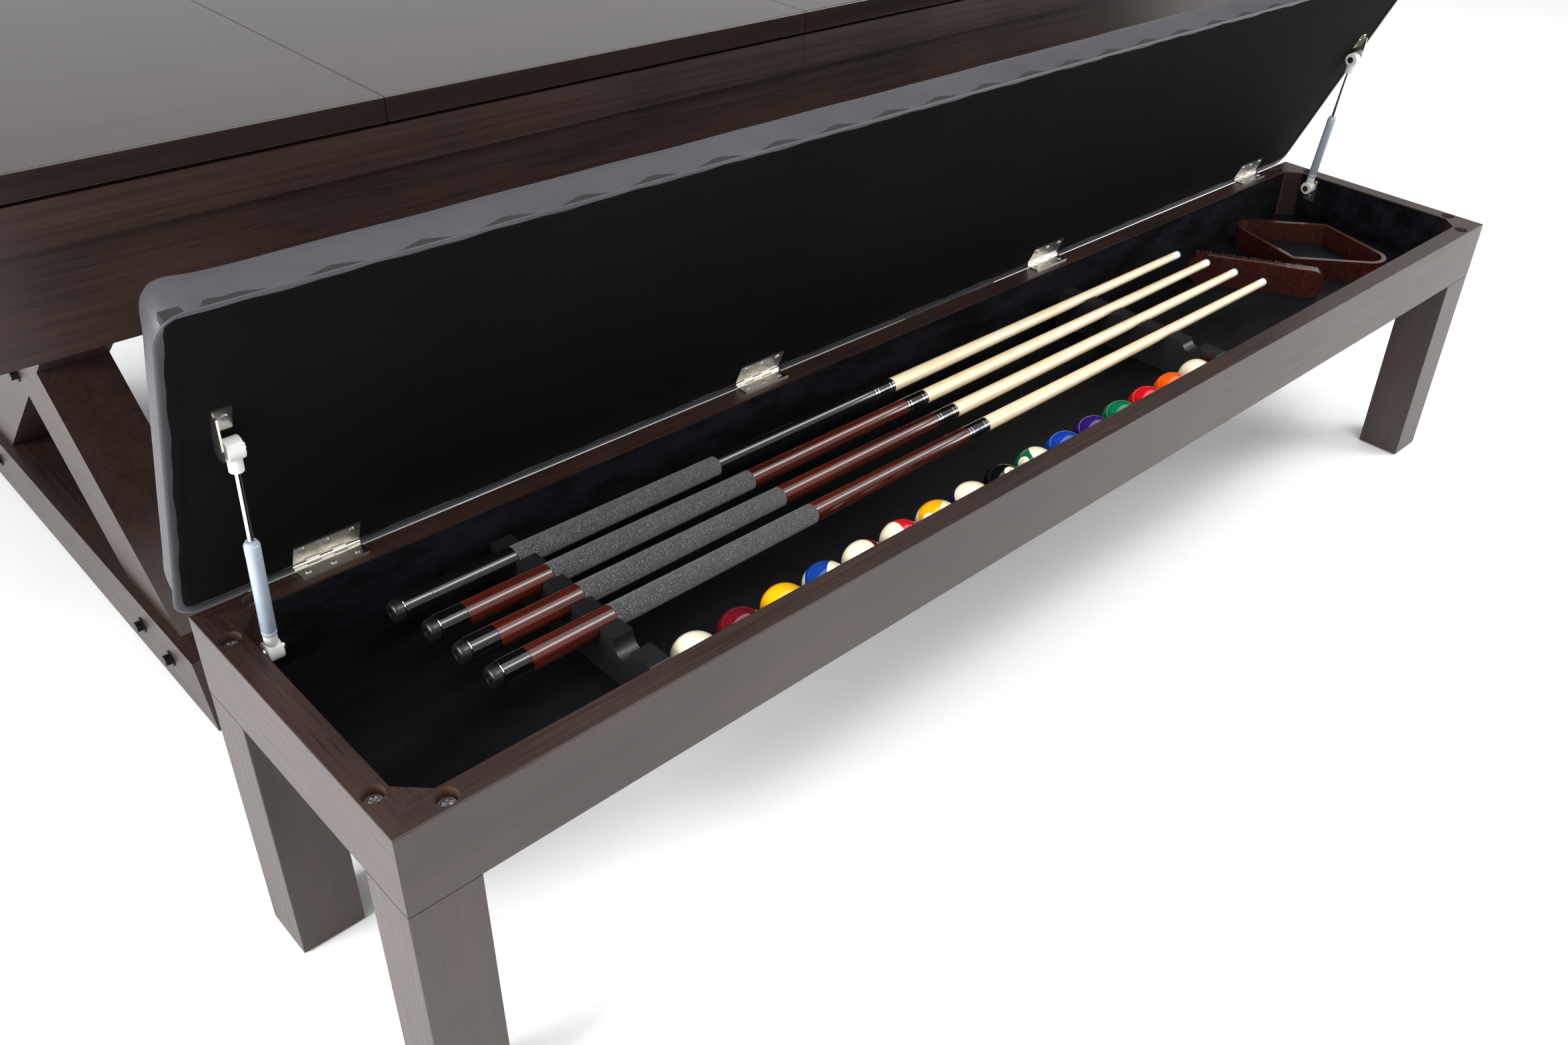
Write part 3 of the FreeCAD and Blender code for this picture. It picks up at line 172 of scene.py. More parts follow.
def crossHead(centre, outward, radius, height, turn, segments=40, rings=14):
    # A pan head with a driver's cross: height over the seat = dome - recess. The dome falls as the fourth
    # power of the radius, and the recess is two crossed slots, 0.14 of the radius to each side, that fade
    # out at the ends. A skirt and a middle point close the head underneath.
    across, up, along = frameAlong(outward)
    t = np.linspace(0, 1, rings)[:, None]
    a = (np.arange(segments) * 2 * math.pi / segments + turn)[None, :]
    x, y = t * np.cos(a), t * np.sin(a)
    xr, yr = x * math.cos(turn) + y * math.sin(turn), -x * math.sin(turn) + y * math.cos(turn)
    slots = [np.clip(1 - np.abs(wide) / 0.14, 0, 1) * np.clip((0.58 - np.abs(far)) / 0.2, 0, 1)
             for wide, far in ((xr, yr), (yr, xr))]
    recess = np.clip(np.maximum(*slots) * 1.6, 0, 1)
    rise = height * (1 - 0.55 * t ** 4 - 0.75 * recess)
    seat = np.array(centre)
    points = seat + radius * x[..., None] * across + radius * y[..., None] * up + rise[..., None] * along
    skirt = points[-1] - (rise[-1][:, None] + 0.0001) * along
    foot = np.repeat(seat[None, :] - 0.0001 * along, segments, axis=0)
    points = np.concatenate([points, skirt[None], foot[None]])
    return points.reshape(-1, 3), gridFaces(rings + 2, segments)


def openLid(points):
    # A place on the closed lid, counted from the hinge axis, turned open: y' = y cos - z sin,
    # z' = y sin + z cos, then moved to the axis.
    x, y, z = np.moveaxis(np.asarray(points, float), -1, 0)
    c, s = math.cos(lidAngle), math.sin(lidAngle)
    return np.stack([x + hingeAxis[0], y * c - z * s + hingeAxis[1], y * s + z * c + hingeAxis[2]], axis=-1)


def benchPlace(x, y, z):
    # A place counted from the bench's front left corner, at a height over the floor.
    return np.array([bench["left"] + x, bench["front"] + y, z])


birch = {"dark": "#1b100d", "light": "#36241d", "pore": "#0d0706", "roughness": 0.4, "poreScale": 9.0}
alongX, alongY, alongZ = (1.5, 70, 70), (70, 1.5, 70), (70, 70, 1.5)  # grain 45 times as long as wide


def espressoBirch(name, stretch, rotation=(0, 0, 0)):
    # Solid birch, planed, stained espresso and sprayed with satin lacquer: a broad soft figure, fine open
    # pores and a low sheen that the grain breaks up. Grain lines are drawn about 5 mm apart, to show.
    material, tree, shader = newMaterial(name, IOR=1.5, Coat_Weight=0.12, Coat_Roughness=0.4)
    space = patternSpace(tree, stretch, rotation)
    figure = addNode(tree, "TexNoise", {"Vector": space, "Scale": 0.35, "Detail": 5.0, "Roughness": 0.6})
    fine = addNode(tree, "TexNoise", {"Vector": space, "Scale": 3.0, "Detail": 6.0, "Roughness": 0.65})
    pores = addNode(tree, "TexNoise", {"Vector": space, "Scale": birch["poreScale"], "Detail": 2.0,
                                       "Roughness": 0.5})
    pores = addNode(tree, "MapRange", {"Value": pores, "From Min": 0.62, "From Max": 0.72})
    blotch = addNode(tree, "TexNoise", {"Vector": patternSpace(tree, (6, 6, 6)), "Scale": 1.0,
                                        "Detail": 3.0, "Roughness": 0.5})
    mixed = addNode(tree, "Math", {0: figure, 1: fine}, operation="ADD")
    mixed = addNode(tree, "Math", {0: mixed, 1: blotch}, operation="ADD")
    mixed = addNode(tree, "MapRange", {"Value": mixed, "From Min": 1.15, "From Max": 1.95})
    colour = addNode(tree, "ValToRGB", {"Fac": mixed}, stops=[(0.0, birch["dark"]), (1.0, birch["light"])])
    colour = addNode(tree, "Mix", {0: pores, 6: colour, 7: linear(birch["pore"])}, 2, data_type="RGBA")
    rough = addNode(tree, "MapRange", {"Value": fine, "From Min": 0.3, "From Max": 0.7,
                                       "To Min": birch["roughness"] - 0.05,
                                       "To Max": birch["roughness"] + 0.07})
    normal = addNode(tree, "Bump", {"Height": pores, "Distance": -0.0002, "Strength": 0.25})
    normal = addNode(tree, "Bump", {"Height": fine, "Distance": 0.0002, "Strength": 0.12, "Normal": normal})
    connect(tree, shader, Base_Color=colour, Roughness=rough, Normal=normal)
    return material


def lacqueredVeneer(name):
    # Stained veneer, pressed on board and polished under lacquer: nearly smooth, so it mirrors the light.
    # The solid lipping's joint shows as a dark line, drawn 1.2 mm wide, 17 mm inside each long edge.
    material, tree, shader = newMaterial(name, IOR=1.5, Coat_Weight=0.5, Coat_Roughness=0.12)
    space = patternSpace(tree, alongX)
    figure = addNode(tree, "TexNoise", {"Vector": space, "Scale": 0.5, "Detail": 6.0, "Roughness": 0.6})
    colour = addNode(tree, "ValToRGB", {"Fac": figure}, stops=[(0.3, "#1a1210"), (0.7, "#2a1e1b")])
    across = addNode(tree, "SeparateXYZ", {"Vector": addNode(tree, "TexCoord", output="Object")}, "Y")
    low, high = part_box("dining_top_1")
    lines = [addNode(tree, "Math", {0: across, 1: edge, 2: 0.0006}, operation="COMPARE")
             for edge in (low.y + 0.017, high.y - 0.017)]
    joint = addNode(tree, "Math", {0: lines[0], 1: lines[1]}, operation="MAXIMUM")
    colour = addNode(tree, "Mix", {0: joint, 6: colour, 7: linear("#080504")}, 2, data_type="RGBA")
    rough = addNode(tree, "MapRange", {"Value": figure, "From Min": 0.3, "From Max": 0.7, "To Min": 0.2,
                                       "To Max": 0.23})
    normal = addNode(tree, "Bump", {"Height": joint, "Distance": -0.0003, "Strength": 0.4})
    connect(tree, shader, Base_Color=colour, Roughness=rough, Normal=normal)
    return material


def lacqueredMahogany(name, darkCode, lightCode, rough, blackFrom=None):
    # Mahogany, turned or sawn, stained red-brown under gloss lacquer: dark grain about 6 mm apart below a
    # bright clear coat. Behind the y place blackFrom the stain is black, for the rearmost cue.
    material, tree, shader = newMaterial(name, IOR=1.5, Coat_Weight=0.8, Coat_Roughness=0.05,
                                         Roughness=rough)
    space = patternSpace(tree, (4, 160, 160))
    grain = addNode(tree, "TexNoise", {"Vector": space, "Scale": 1.0, "Detail": 6.0, "Roughness": 0.6})
    colour = addNode(tree, "ValToRGB", {"Fac": grain}, stops=[(0.32, darkCode), (0.68, lightCode)])
    if blackFrom is not None:
        across = addNode(tree, "SeparateXYZ", {"Vector": addNode(tree, "TexCoord", output="Object")}, "Y")
        rear = addNode(tree, "Math", {0: across, 1: blackFrom}, operation="GREATER_THAN")
        colour = addNode(tree, "Mix", {0: rear, 6: colour, 7: linear("#08080a")}, 2, data_type="RGBA")
    normal = addNode(tree, "Bump", {"Height": grain, "Distance": 0.0001, "Strength": 0.008})
    connect(tree, shader, Base_Color=colour, Normal=normal)
    return material


def waxedMaple(name):
    # Hard maple shaft, turned, sanded and waxed: cream with faint straight grain about 4 mm apart, a little
    # darker in clouds, and a soft shine.
    material, tree, shader = newMaterial(name, IOR=1.48, Coat_Weight=0.4, Coat_Roughness=0.18,
                                         Roughness=0.34)
    grain = addNode(tree, "TexNoise", {"Vector": patternSpace(tree, (5, 260, 260)), "Scale": 1.0,
                                       "Detail": 5.0, "Roughness": 0.6})
    flame = addNode(tree, "TexNoise", {"Vector": patternSpace(tree, (45, 30, 30)), "Scale": 1.0,
                                       "Detail": 2.0, "Roughness": 0.5})
    flame = addNode(tree, "MapRange", {"Value": flame, "From Min": 0.45, "From Max": 0.75, "To Max": 0.22})
    colour = addNode(tree, "ValToRGB", {"Fac": grain},
                     stops=[(0.3, "#dcc096"), (0.5, "#ecd7b2"), (0.7, "#f5e6ca")])
    colour = addNode(tree, "Mix", {0: flame, 6: colour, 7: linear("#caa26c")}, 2, data_type="RGBA")
    normal = addNode(tree, "Bump", {"Height": grain, "Distance": 0.0001, "Strength": 0.05})
    connect(tree, shader, Base_Color=colour, Normal=normal)
    return material


def speckledLinen(name):
    # Irish linen thread, black with white flecks, wound side by side and pressed: a dull, ribbed grip. The
    # thread is drawn 1.1 mm wide, so that it shows. Painted shade blackens the grooves between the turns.
    material, tree, shader = newMaterial(name, Roughness=0.75, Sheen_Weight=0.3, Sheen_Roughness=0.5)
    threads = addNode(tree, "TexWave", {"Vector": patternSpace(tree, (1, 1, 1)), "Scale": 285.0,
                                        "Distortion": 1.2, "Detail": 2.0, "Detail Scale": 3.0}, "Fac",
                      wave_type="BANDS", bands_direction="X")
    flecks = addNode(tree, "TexNoise", {"Vector": patternSpace(tree, (1100, 600, 600)), "Scale": 1.0,
                                        "Detail": 2.0, "Roughness": 0.7})
    flecks = addNode(tree, "MapRange", {"Value": flecks, "From Min": 0.55, "From Max": 0.62})
    grooveShade = addNode(tree, "MapRange", {"Value": threads, "From Min": 0.0, "From Max": 0.45,
                                         "To Min": 0.75, "To Max": 0.0})
    colour = addNode(tree, "Mix", {0: flecks, 6: linear("#08080a"), 7: linear("#8f8f92")}, 2,
                     data_type="RGBA")
    # painted shade: the grooves between the turns of thread are mixed toward black, so no flecks show there
    colour = addNode(tree, "Mix", {0: grooveShade, 6: colour, 7: linear("#08080a")}, 2, data_type="RGBA")
    normal = addNode(tree, "Bump", {"Height": threads, "Distance": 0.0006, "Strength": 0.8})
    normal = addNode(tree, "Bump", {"Height": flecks, "Distance": 0.0002, "Strength": 0.3,
                                    "Normal": normal})
    connect(tree, shader, Base_Color=colour, Normal=normal)
    return material


def embossedVinyl(name):
    # PVC upholstery vinyl, calendered with a leather grain: pebbles 1.6 mm across and a satin sheen.
    material, tree, shader = newMaterial(name, IOR=1.5, Specular_IOR_Level=0.55)
    space = patternSpace(tree, (1, 1, 1))
    pebbles = addNode(tree, "TexVoronoi", {"Vector": space, "Scale": 620.0}, "Distance",
                      feature="SMOOTH_F1")
    cloudy = addNode(tree, "TexNoise", {"Vector": space, "Scale": 9.0, "Detail": 4.0, "Roughness": 0.55})
    dents = addNode(tree, "TexNoise", {"Vector": space, "Scale": 45.0, "Detail": 3.0, "Roughness": 0.5})
    colour = addNode(tree, "ValToRGB", {"Fac": cloudy}, stops=[(0.3, "#27272d"), (0.7, "#34343b")])
    rough = addNode(tree, "MapRange", {"Value": cloudy, "From Min": 0.3, "From Max": 0.7, "To Min": 0.4,
                                       "To Max": 0.5})
    normal = addNode(tree, "Bump", {"Height": dents, "Distance": 0.0007, "Strength": 0.12})
    normal = addNode(tree, "Bump", {"Height": pebbles, "Distance": 0.0004, "Strength": 0.28,
                                    "Normal": normal})
    connect(tree, shader, Base_Color=colour, Roughness=rough, Normal=normal)
    return material


def dustCoverTwill(name):
    # Polyester twill, woven and stapled under the lid: no gloss, faint grey scuffs, diagonal ribs drawn
    # about 2 mm apart, so that they show, with painted shade darkening the valleys between the ribs.
    material, tree, shader = newMaterial(name, Roughness=0.85, Specular_IOR_Level=0.06)
    space = patternSpace(tree, (1, 1, 1), (-lidAngle, 0, 0))
    ribs = addNode(tree, "TexWave", {"Vector": space, "Scale": 170.0, "Distortion": 0.8, "Detail": 1.0,
                                     "Detail Scale": 4.0}, "Fac",
                   wave_type="BANDS", bands_direction="DIAGONAL")
    cloudy = addNode(tree, "TexNoise", {"Vector": space, "Scale": 3.0, "Detail": 4.0, "Roughness": 0.6})
    scuffs = addNode(tree, "TexNoise", {"Vector": patternSpace(tree, (26, 9, 9), (0.5, 0, 0)), "Scale": 1.0,
                                        "Detail": 6.0, "Roughness": 0.7})
    scuffs = addNode(tree, "MapRange", {"Value": scuffs, "From Min": 0.66, "From Max": 0.8, "To Max": 0.5})
    valleyShade = addNode(tree, "MapRange", {"Value": ribs, "To Min": 0.3, "To Max": 0.0})
    colour = addNode(tree, "ValToRGB", {"Fac": cloudy}, stops=[(0.3, "#070708"), (0.7, "#0c0c0d")])
    # painted shade: the valleys between the ribs are mixed up to 0.3 toward a darker black
    colour = addNode(tree, "Mix", {0: valleyShade, 6: colour, 7: linear("#060607")}, 2, data_type="RGBA")
    colour = addNode(tree, "Mix", {0: scuffs, 6: colour, 7: linear("#1f1f21")}, 2, data_type="RGBA")
    normal = addNode(tree, "Bump", {"Height": cloudy, "Distance": 0.0015, "Strength": 0.2})
    normal = addNode(tree, "Bump", {"Height": ribs, "Distance": 0.0003, "Strength": 0.4, "Normal": normal})
    connect(tree, shader, Base_Color=colour, Normal=normal)
    return material


def flockedFelt(name):
    # Nylon flock, blown on glue on the well's walls: short black fibre with greyer patches where the nap is
    # rubbed another way. Fibres are drawn about 1 mm apart, so that they show.
    material, tree, shader = newMaterial(name, Roughness=0.95, Specular_IOR_Level=0.05)
    nap = addNode(tree, "TexNoise", {"Vector": patternSpace(tree, (9, 26, 26)), "Scale": 1.0, "Detail": 6.0,
                                     "Roughness": 0.7})
    fibre = addNode(tree, "TexNoise", {"Vector": patternSpace(tree, (1, 1, 1)), "Scale": 900.0,
                                       "Detail": 2.0, "Roughness": 0.6})
    colour = addNode(tree, "ValToRGB", {"Fac": nap}, stops=[(0.4, "#060608"), (0.65, "#16151b")])
    normal = addNode(tree, "Bump", {"Height": fibre, "Distance": 0.0006, "Strength": 0.7})
    normal = addNode(tree, "Bump", {"Height": nap, "Distance": 0.001, "Strength": 0.2, "Normal": normal})
    connect(tree, shader, Base_Color=colour, Normal=normal)
    return material


def blackMelamine(name):
    # Melamine-faced board in the bottom of the well, pressed matt: smeared sheen and scattered grey dust.
    material, tree, shader = newMaterial(name, IOR=1.5, Specular_IOR_Level=0.15)
    space = patternSpace(tree, (1, 1, 1))
    smear = addNode(tree, "TexNoise", {"Vector": patternSpace(tree, (5, 14, 14)), "Scale": 1.0,
                                       "Detail": 5.0, "Roughness": 0.6})
    dust = addNode(tree, "TexVoronoi", {"Vector": space, "Scale": 75.0}, "Distance")
    dust = addNode(tree, "MapRange", {"Value": dust, "From Min": 0.02, "From Max": 0.05, "To Min": 1.0,
                                      "To Max": 0.0})
    grit = addNode(tree, "TexNoise", {"Vector": space, "Scale": 260.0, "Detail": 2.0, "Roughness": 0.55})
    colour = addNode(tree, "ValToRGB", {"Fac": smear}, stops=[(0.3, "#060608"), (0.7, "#0d0d10")])
    colour = addNode(tree, "Mix", {0: dust, 6: colour, 7: linear("#3a3a3c")}, 2, data_type="RGBA")
    rough = addNode(tree, "MapRange", {"Value": smear, "From Min": 0.3, "From Max": 0.7, "To Min": 0.42,
                                       "To Max": 0.55})
    normal = addNode(tree, "Bump", {"Height": grit, "Distance": 0.0001, "Strength": 0.15})
    connect(tree, shader, Base_Color=colour, Roughness=rough, Normal=normal)
    return material


def platedSteel(name, code, lightCode, rough):
    # Pressed or turned steel, plated bright: a mirror whose roughness drifts a little from place to place.
    material, tree, shader = newMaterial(name, Metallic=1.0)
    drift = addNode(tree, "TexNoise", {"Vector": patternSpace(tree, (18, 18, 18)), "Scale": 1.0,
                                       "Detail": 2.0, "Roughness": 0.4})
    colour = addNode(tree, "ValToRGB", {"Fac": drift}, stops=[(0.3, code), (0.7, lightCode)])
    rough = addNode(tree, "MapRange", {"Value": drift, "From Min": 0.3, "From Max": 0.7, "To Min": rough,
                                       "To Max": rough + 0.06})
    connect(tree, shader, Base_Color=colour, Roughness=rough)
    return material


def evenFinish(name, code, lightCode, rough, scale=300.0, depth=0.0002, strength=0.2, **sockets):
    # One colour that drifts slightly over about 80 mm, with a fine texture: scale is its grains in a metre,
    # depth and strength its relief.
    material, tree, shader = newMaterial(name, **sockets)
    space = patternSpace(tree, (1, 1, 1))
    broad = addNode(tree, "TexNoise", {"Vector": space, "Scale": 12.0, "Detail": 4.0, "Roughness": 0.55})
    fine = addNode(tree, "TexNoise", {"Vector": space, "Scale": scale, "Detail": 3.0, "Roughness": 0.6})
    colour = addNode(tree, "ValToRGB", {"Fac": broad}, stops=[(0.3, code), (0.7, lightCode)])
    rough = addNode(tree, "MapRange", {"Value": fine, "From Min": 0.3, "From Max": 0.7,
                                       "To Min": rough - 0.04, "To Max": rough + 0.06})
    normal = addNode(tree, "Bump", {"Height": fine, "Distance": depth, "Strength": strength})
    connect(tree, shader, Base_Color=colour, Roughness=rough, Normal=normal)
    return material


woodX = espressoBirch("espressoBirchLong", alongX)
woodY = espressoBirch("espressoBirchAcross", alongY)
woodZ = espressoBirch("espressoBirchUpright", alongZ)
armWood = espressoBirch("espressoBirchArm", alongY, (math.radians(41), 0, 0))
halfArmWood = espressoBirch("espressoBirchHalfArm", alongY, (math.radians(-41), 0, 0))
topVeneer = lacqueredVeneer("lacqueredVeneer")
bareWood = evenFinish("bareBirch", "#33211a", "#4c3324", 0.6, 500.0)  # drilled birch: dry, torn fibre
feltLining = flockedFelt("flockedFelt")
boardBlack = blackMelamine("blackMelamine")
vinyl = embossedVinyl("embossedVinyl")
twill = dustCoverTwill("dustCoverTwill")
nickel = platedSteel("nickelPlate", "#c9c5bd", "#d8d4cc", 0.2)  # pressed hinge steel: warm and bright
zinc = platedSteel("zincPlate", "#a9abae", "#bdbfc1", 0.26)  # screws and bolts: cooler and greyer
chrome = platedSteel("hardChrome", "#cfd0d2", "#dddee0", 0.08)  # ground rod, plated: the sharpest mirror
greyEnamel = evenFinish("greyEnamel", "#8d97a5", "#9aa4b1", 0.34, 60.0, 0.0001, 0.05,
                        Coat_Weight=0.3)  # stoved on drawn tube: smooth, half gloss
paleNylon = evenFinish("paleNylon", "#bcbbb8", "#cbcac7", 0.36, 400.0, 0.0001, 0.1)  # moulded eyes: waxy
blackOxide = evenFinish("blackOxideSteel", "#0c0c0d", "#17171a", 0.4, 200.0, 0.0001, 0.15,
                        Metallic=0.6)  # forged and blackened: dull, partly bare metal
blackAbs = evenFinish("mouldedAbs", "#0e0e10", "#18181b", 0.38, 700.0, 0.0003, 0.35)  # spark-grained mould
cueLacquer = lacqueredMahogany("cueMahogany", "#230805", "#551e13", 0.2, blackFrom=bench["front"] + 0.285)
rackLacquer = lacqueredMahogany("rackMahogany", "#220a07", "#43180f", 0.3)
maple = waxedMaple("waxedMaple")
linen = speckledLinen("speckledLinen")
gloss = evenFinish("glossBlack", "#060607", "#0b0b0d", 0.12, 60.0, 0.0001, 0.03,
                   Coat_Weight=0.8)  # phenolic rod, turned and polished: wet black
bumperRubber = evenFinish("bumperRubber", "#0e0e10", "#161619", 0.3, 500.0, 0.0001, 0.1)  # moulded
ferruleResin = evenFinish("ferruleResin", "#e6e2d8", "#f2eee4", 0.3, 300.0, 0.0001, 0.05)  # bone white
tipLeather = evenFinish("pressedLeather", "#3a4a5c", "#586a7c", 0.8, 900.0, 0.0004, 0.6)  # chalked hide
ringSilver = platedSteel("ringSilver", "#c8c8ca", "#dcdcde", 0.12)  # turned ring: thin and bright
padRubber = evenFinish("padRubber", "#101011", "#1a1a1c", 0.6, 300.0)  # moulded rubber: matt
slateStone = evenFinish("honedSlate", "#2c2e31", "#3a3c40", 0.55, 120.0)  # honed flat: matt, cloudy grey
bedWool = evenFinish("bedWool", "#0c4a3a", "#10584a", 0.9, 1500.0, 0.0004, 0.6,
                     Sheen_Weight=0.4)  # napped billiard wool: a soft rim of fibre
pocketLeather = evenFinish("pocketLeather", "#17110e", "#241a15", 0.5, 450.0, 0.0005, 0.4)  # stitched hide
plywood = evenFinish("birchPly", "#0b0a0a", "#131110", 0.7, 90.0)  # board primed black: matt
bristle = evenFinish("bristle", "#050505", "#111112", 0.7, 900.0, 0.0005, 0.5)  # horsehair tufts: dull
padFelt = evenFinish("padFelt", "#151516", "#222224", 0.95, 900.0, 0.0005, 0.6)  # pressed felt: no shine
print("materials made")

nodeLooks = {
    woodX: ["bench_long_boards", "table_rails", "table_side_skirts", "bed_joists"],
    woodY: ["bench_end_boards", "table_end_skirts", "trestle_beams"],
    woodZ: ["bench_legs", "bench_corner_blocks"],
    armWood: ["trestle_through_arms"], halfArmWood: ["trestle_halved_arms"],
    topVeneer: ["dining_top_1", "dining_top_2", "dining_top_3", "dining_top_4"],
    feltLining: ["well_lining"], boardBlack: ["bench_floor"], twill: ["lid_dust_cover"],
    nickel: ["bench_hinge_leaves", "lid_hinge_leaves", "hinge_pins", "bench_strut_brackets",
             "lid_strut_brackets"],
    zinc: ["bench_screws", "lid_screws", "bench_leg_bolts"],
    chrome: ["left_strut_rod", "right_strut_rod"],
    greyEnamel: ["left_strut_cylinder", "right_strut_cylinder"],
    paleNylon: ["left_strut_lower_eye", "left_strut_upper_eye", "right_strut_lower_eye",
                "right_strut_upper_eye"],
    blackOxide: ["trestle_bolts"], blackAbs: ["cue_cradle_butt", "cue_cradle_tip"],
    rackLacquer: ["diamond_rack", "brush_block"],
    padRubber: ["trestle_foot_pads", "rail_cushions", "bench_glides"],
    slateStone: ["slate_bed"], bedWool: ["bed_cloth"], pocketLeather: ["pockets"],
    plywood: ["lid_board"], padFelt: ["rail_pads"], ferruleResin: ["cue_ball"],
}
for material, names in nodeLooks.items():
    for name in names:
        nodes[name].data.materials.clear()
        nodes[name].data.materials.append(material)
print("CAD nodes finished")


lid = {"length": 2.154, "depth": 0.4390, "left": -0.010, "rear": 0.0150, "corner": 0.030, "bottom": 0.0034,
       "heldBelow": 0.0062, "voxel": 0.0095, "pressure": 4.0, "steps": 20, "cap": 0.006, "pleats": 0.0016}


def roundedOutline(length, depth, corner, count):
    # A rectangle with round corners, by distance along it: straight runs, then quarter circles.
    straightX, straightY, arc = length - 2 * corner, depth - 2 * corner, corner * math.pi / 2
    runs = [straightX, arc, straightY, arc] * 2
    whole = sum(runs)
    s = np.arange(count) * whole / count
    x, y, nx, ny = (np.zeros(count) for _ in range(4))
    centres = [(length - corner, -depth + corner), (length - corner, -corner), (corner, -corner),
               (corner, -depth + corner)]
    start = 0.0
    for k in range(4):
        here = (s >= start) & (s < start + runs[2 * k])
        t = s - start
        angle = math.pi * (k - 1) / 2
        direction = np.array([[1, 0], [0, 1], [-1, 0], [0, -1]][k])
        origin = np.array([(corner, -depth), (length, -depth + corner), (length - corner, 0),
                           (0, -corner)][k])
        x[here], y[here] = origin[0] + direction[0] * t[here], origin[1] + direction[1] * t[here]
        nx[here], ny[here] = math.cos(angle), math.sin(angle)
        start += runs[2 * k]
        here = (s >= start) & (s < start + arc)
        turn = angle + (s - start) / corner
        x[here] = centres[k][0] + corner * np.cos(turn[here])
        y[here] = centres[k][1] + corner * np.sin(turn[here])
        nx[here], ny[here] = np.cos(turn[here]), np.sin(turn[here])
        start += arc
    return s, x, y, nx, ny


def paddedShell():
    # A profile of (inset, height) carried round the rounded outline, closed in the middle above and below:
    # point = outline - (inset + pull) * outward normal, at that height. The pull draws the lower edge in
    # between staples 85 mm apart, as 1 - cos, and fades away from the edge as a bell curve.
    low = lid["bottom"]
    profile = np.array([(0.16, low), (0.03, low), (0.004, low), (0.0008, 0.006), (0.0005, 0.016),
                        (0.001, 0.030), (0.0025, 0.042), (0.006, 0.053), (0.013, 0.060), (0.026, 0.064),
                        (0.07, 0.066), (0.16, 0.067)])
    s, x, y, nx, ny = roundedOutline(lid["length"], lid["depth"], lid["corner"], 420)
    inset, height = profile[:, 0][:, None], profile[:, 1][:, None]
    pull = 0.0012 * (1 - np.cos(2 * math.pi * s / 0.085)) * np.exp(-((height - 0.006) / 0.016) ** 2)
    squeeze = np.where(inset > 0.05, 0.6, 1.0)
    px = x - inset * nx - pull * nx + lid["left"]
    py = y - inset * ny * squeeze - pull * ny + lid["rear"]
    pz = height + 0 * px
    middleX = np.clip(px[[0, -1]], 0.2, lid["length"] - 0.2)
    middleY = np.full(middleX.shape, lid["rear"] - lid["depth"] / 2)
    middleZ = pz[[0, -1]] + np.array([[0.0], [0.001]])
    points = np.stack([np.concatenate([middle[:1], ring, middle[1:]])
                       for middle, ring in ((middleX, px), (middleY, py), (middleZ, pz))], axis=-1)
    return points.reshape(-1, 3), gridFaces(len(profile) + 2, len(s))


def evaluatedCopy(piece):
    # The mesh as its modifiers leave it.
    graph = bpy.context.evaluated_depsgraph_get()
    return bpy.data.meshes.new_from_object(piece.evaluated_get(graph), depsgraph=graph)


def meshPoints(mesh):
    # The mesh's points, one row each.
    co = np.zeros(len(mesh.vertices) * 3)
    mesh.vertices.foreach_get("co", co)
    return co.reshape(-1, 3)


def inflate(piece):
    # Remeshes the shell, then lets cloth with air pressure swell it: the underside is pinned to its board,
    # and point = start + move, the move cut down to the cap where it is longer.
    remesh = piece.modifiers.new("remesh", "REMESH")
    remesh.mode, remesh.voxel_size = "VOXEL", lid["voxel"]
    even = evaluatedCopy(piece)
    piece.modifiers.clear()
    piece.data = even
    start = meshPoints(even)
    held = piece.vertex_groups.new(name="held")
    low = np.nonzero(start[:, 2] < lid["heldBelow"])[0]
    held.add([int(k) for k in low], 1.0, "REPLACE")
    cloth = piece.modifiers.new("cloth", "CLOTH")
    settings = cloth.settings
    settings.quality, settings.mass = 5, 0.25
    settings.tension_stiffness = settings.compression_stiffness = 18
    settings.bending_stiffness = 1.5
    settings.use_pressure, settings.uniform_pressure_force = True, lid["pressure"]
    settings.vertex_group_mass = "held"
    settings.effector_weights.gravity = 0
    cloth.point_cache.frame_start, cloth.point_cache.frame_end = 1, lid["steps"]
    scene = bpy.context.scene
    for number in range(1, lid["steps"] + 1):
        scene.frame_set(number)
    swollen = meshPoints(evaluatedCopy(piece))
    piece.modifiers.clear()
    move = swollen - start
    size = np.linalg.norm(move, axis=1, keepdims=True)
    scene.frame_set(1)
    print("lid padding: largest move", round(float(size.max()) * 1000, 1), "mm")
    return start + move * np.minimum(1, lid["cap"] / np.maximum(size, 1e-9))


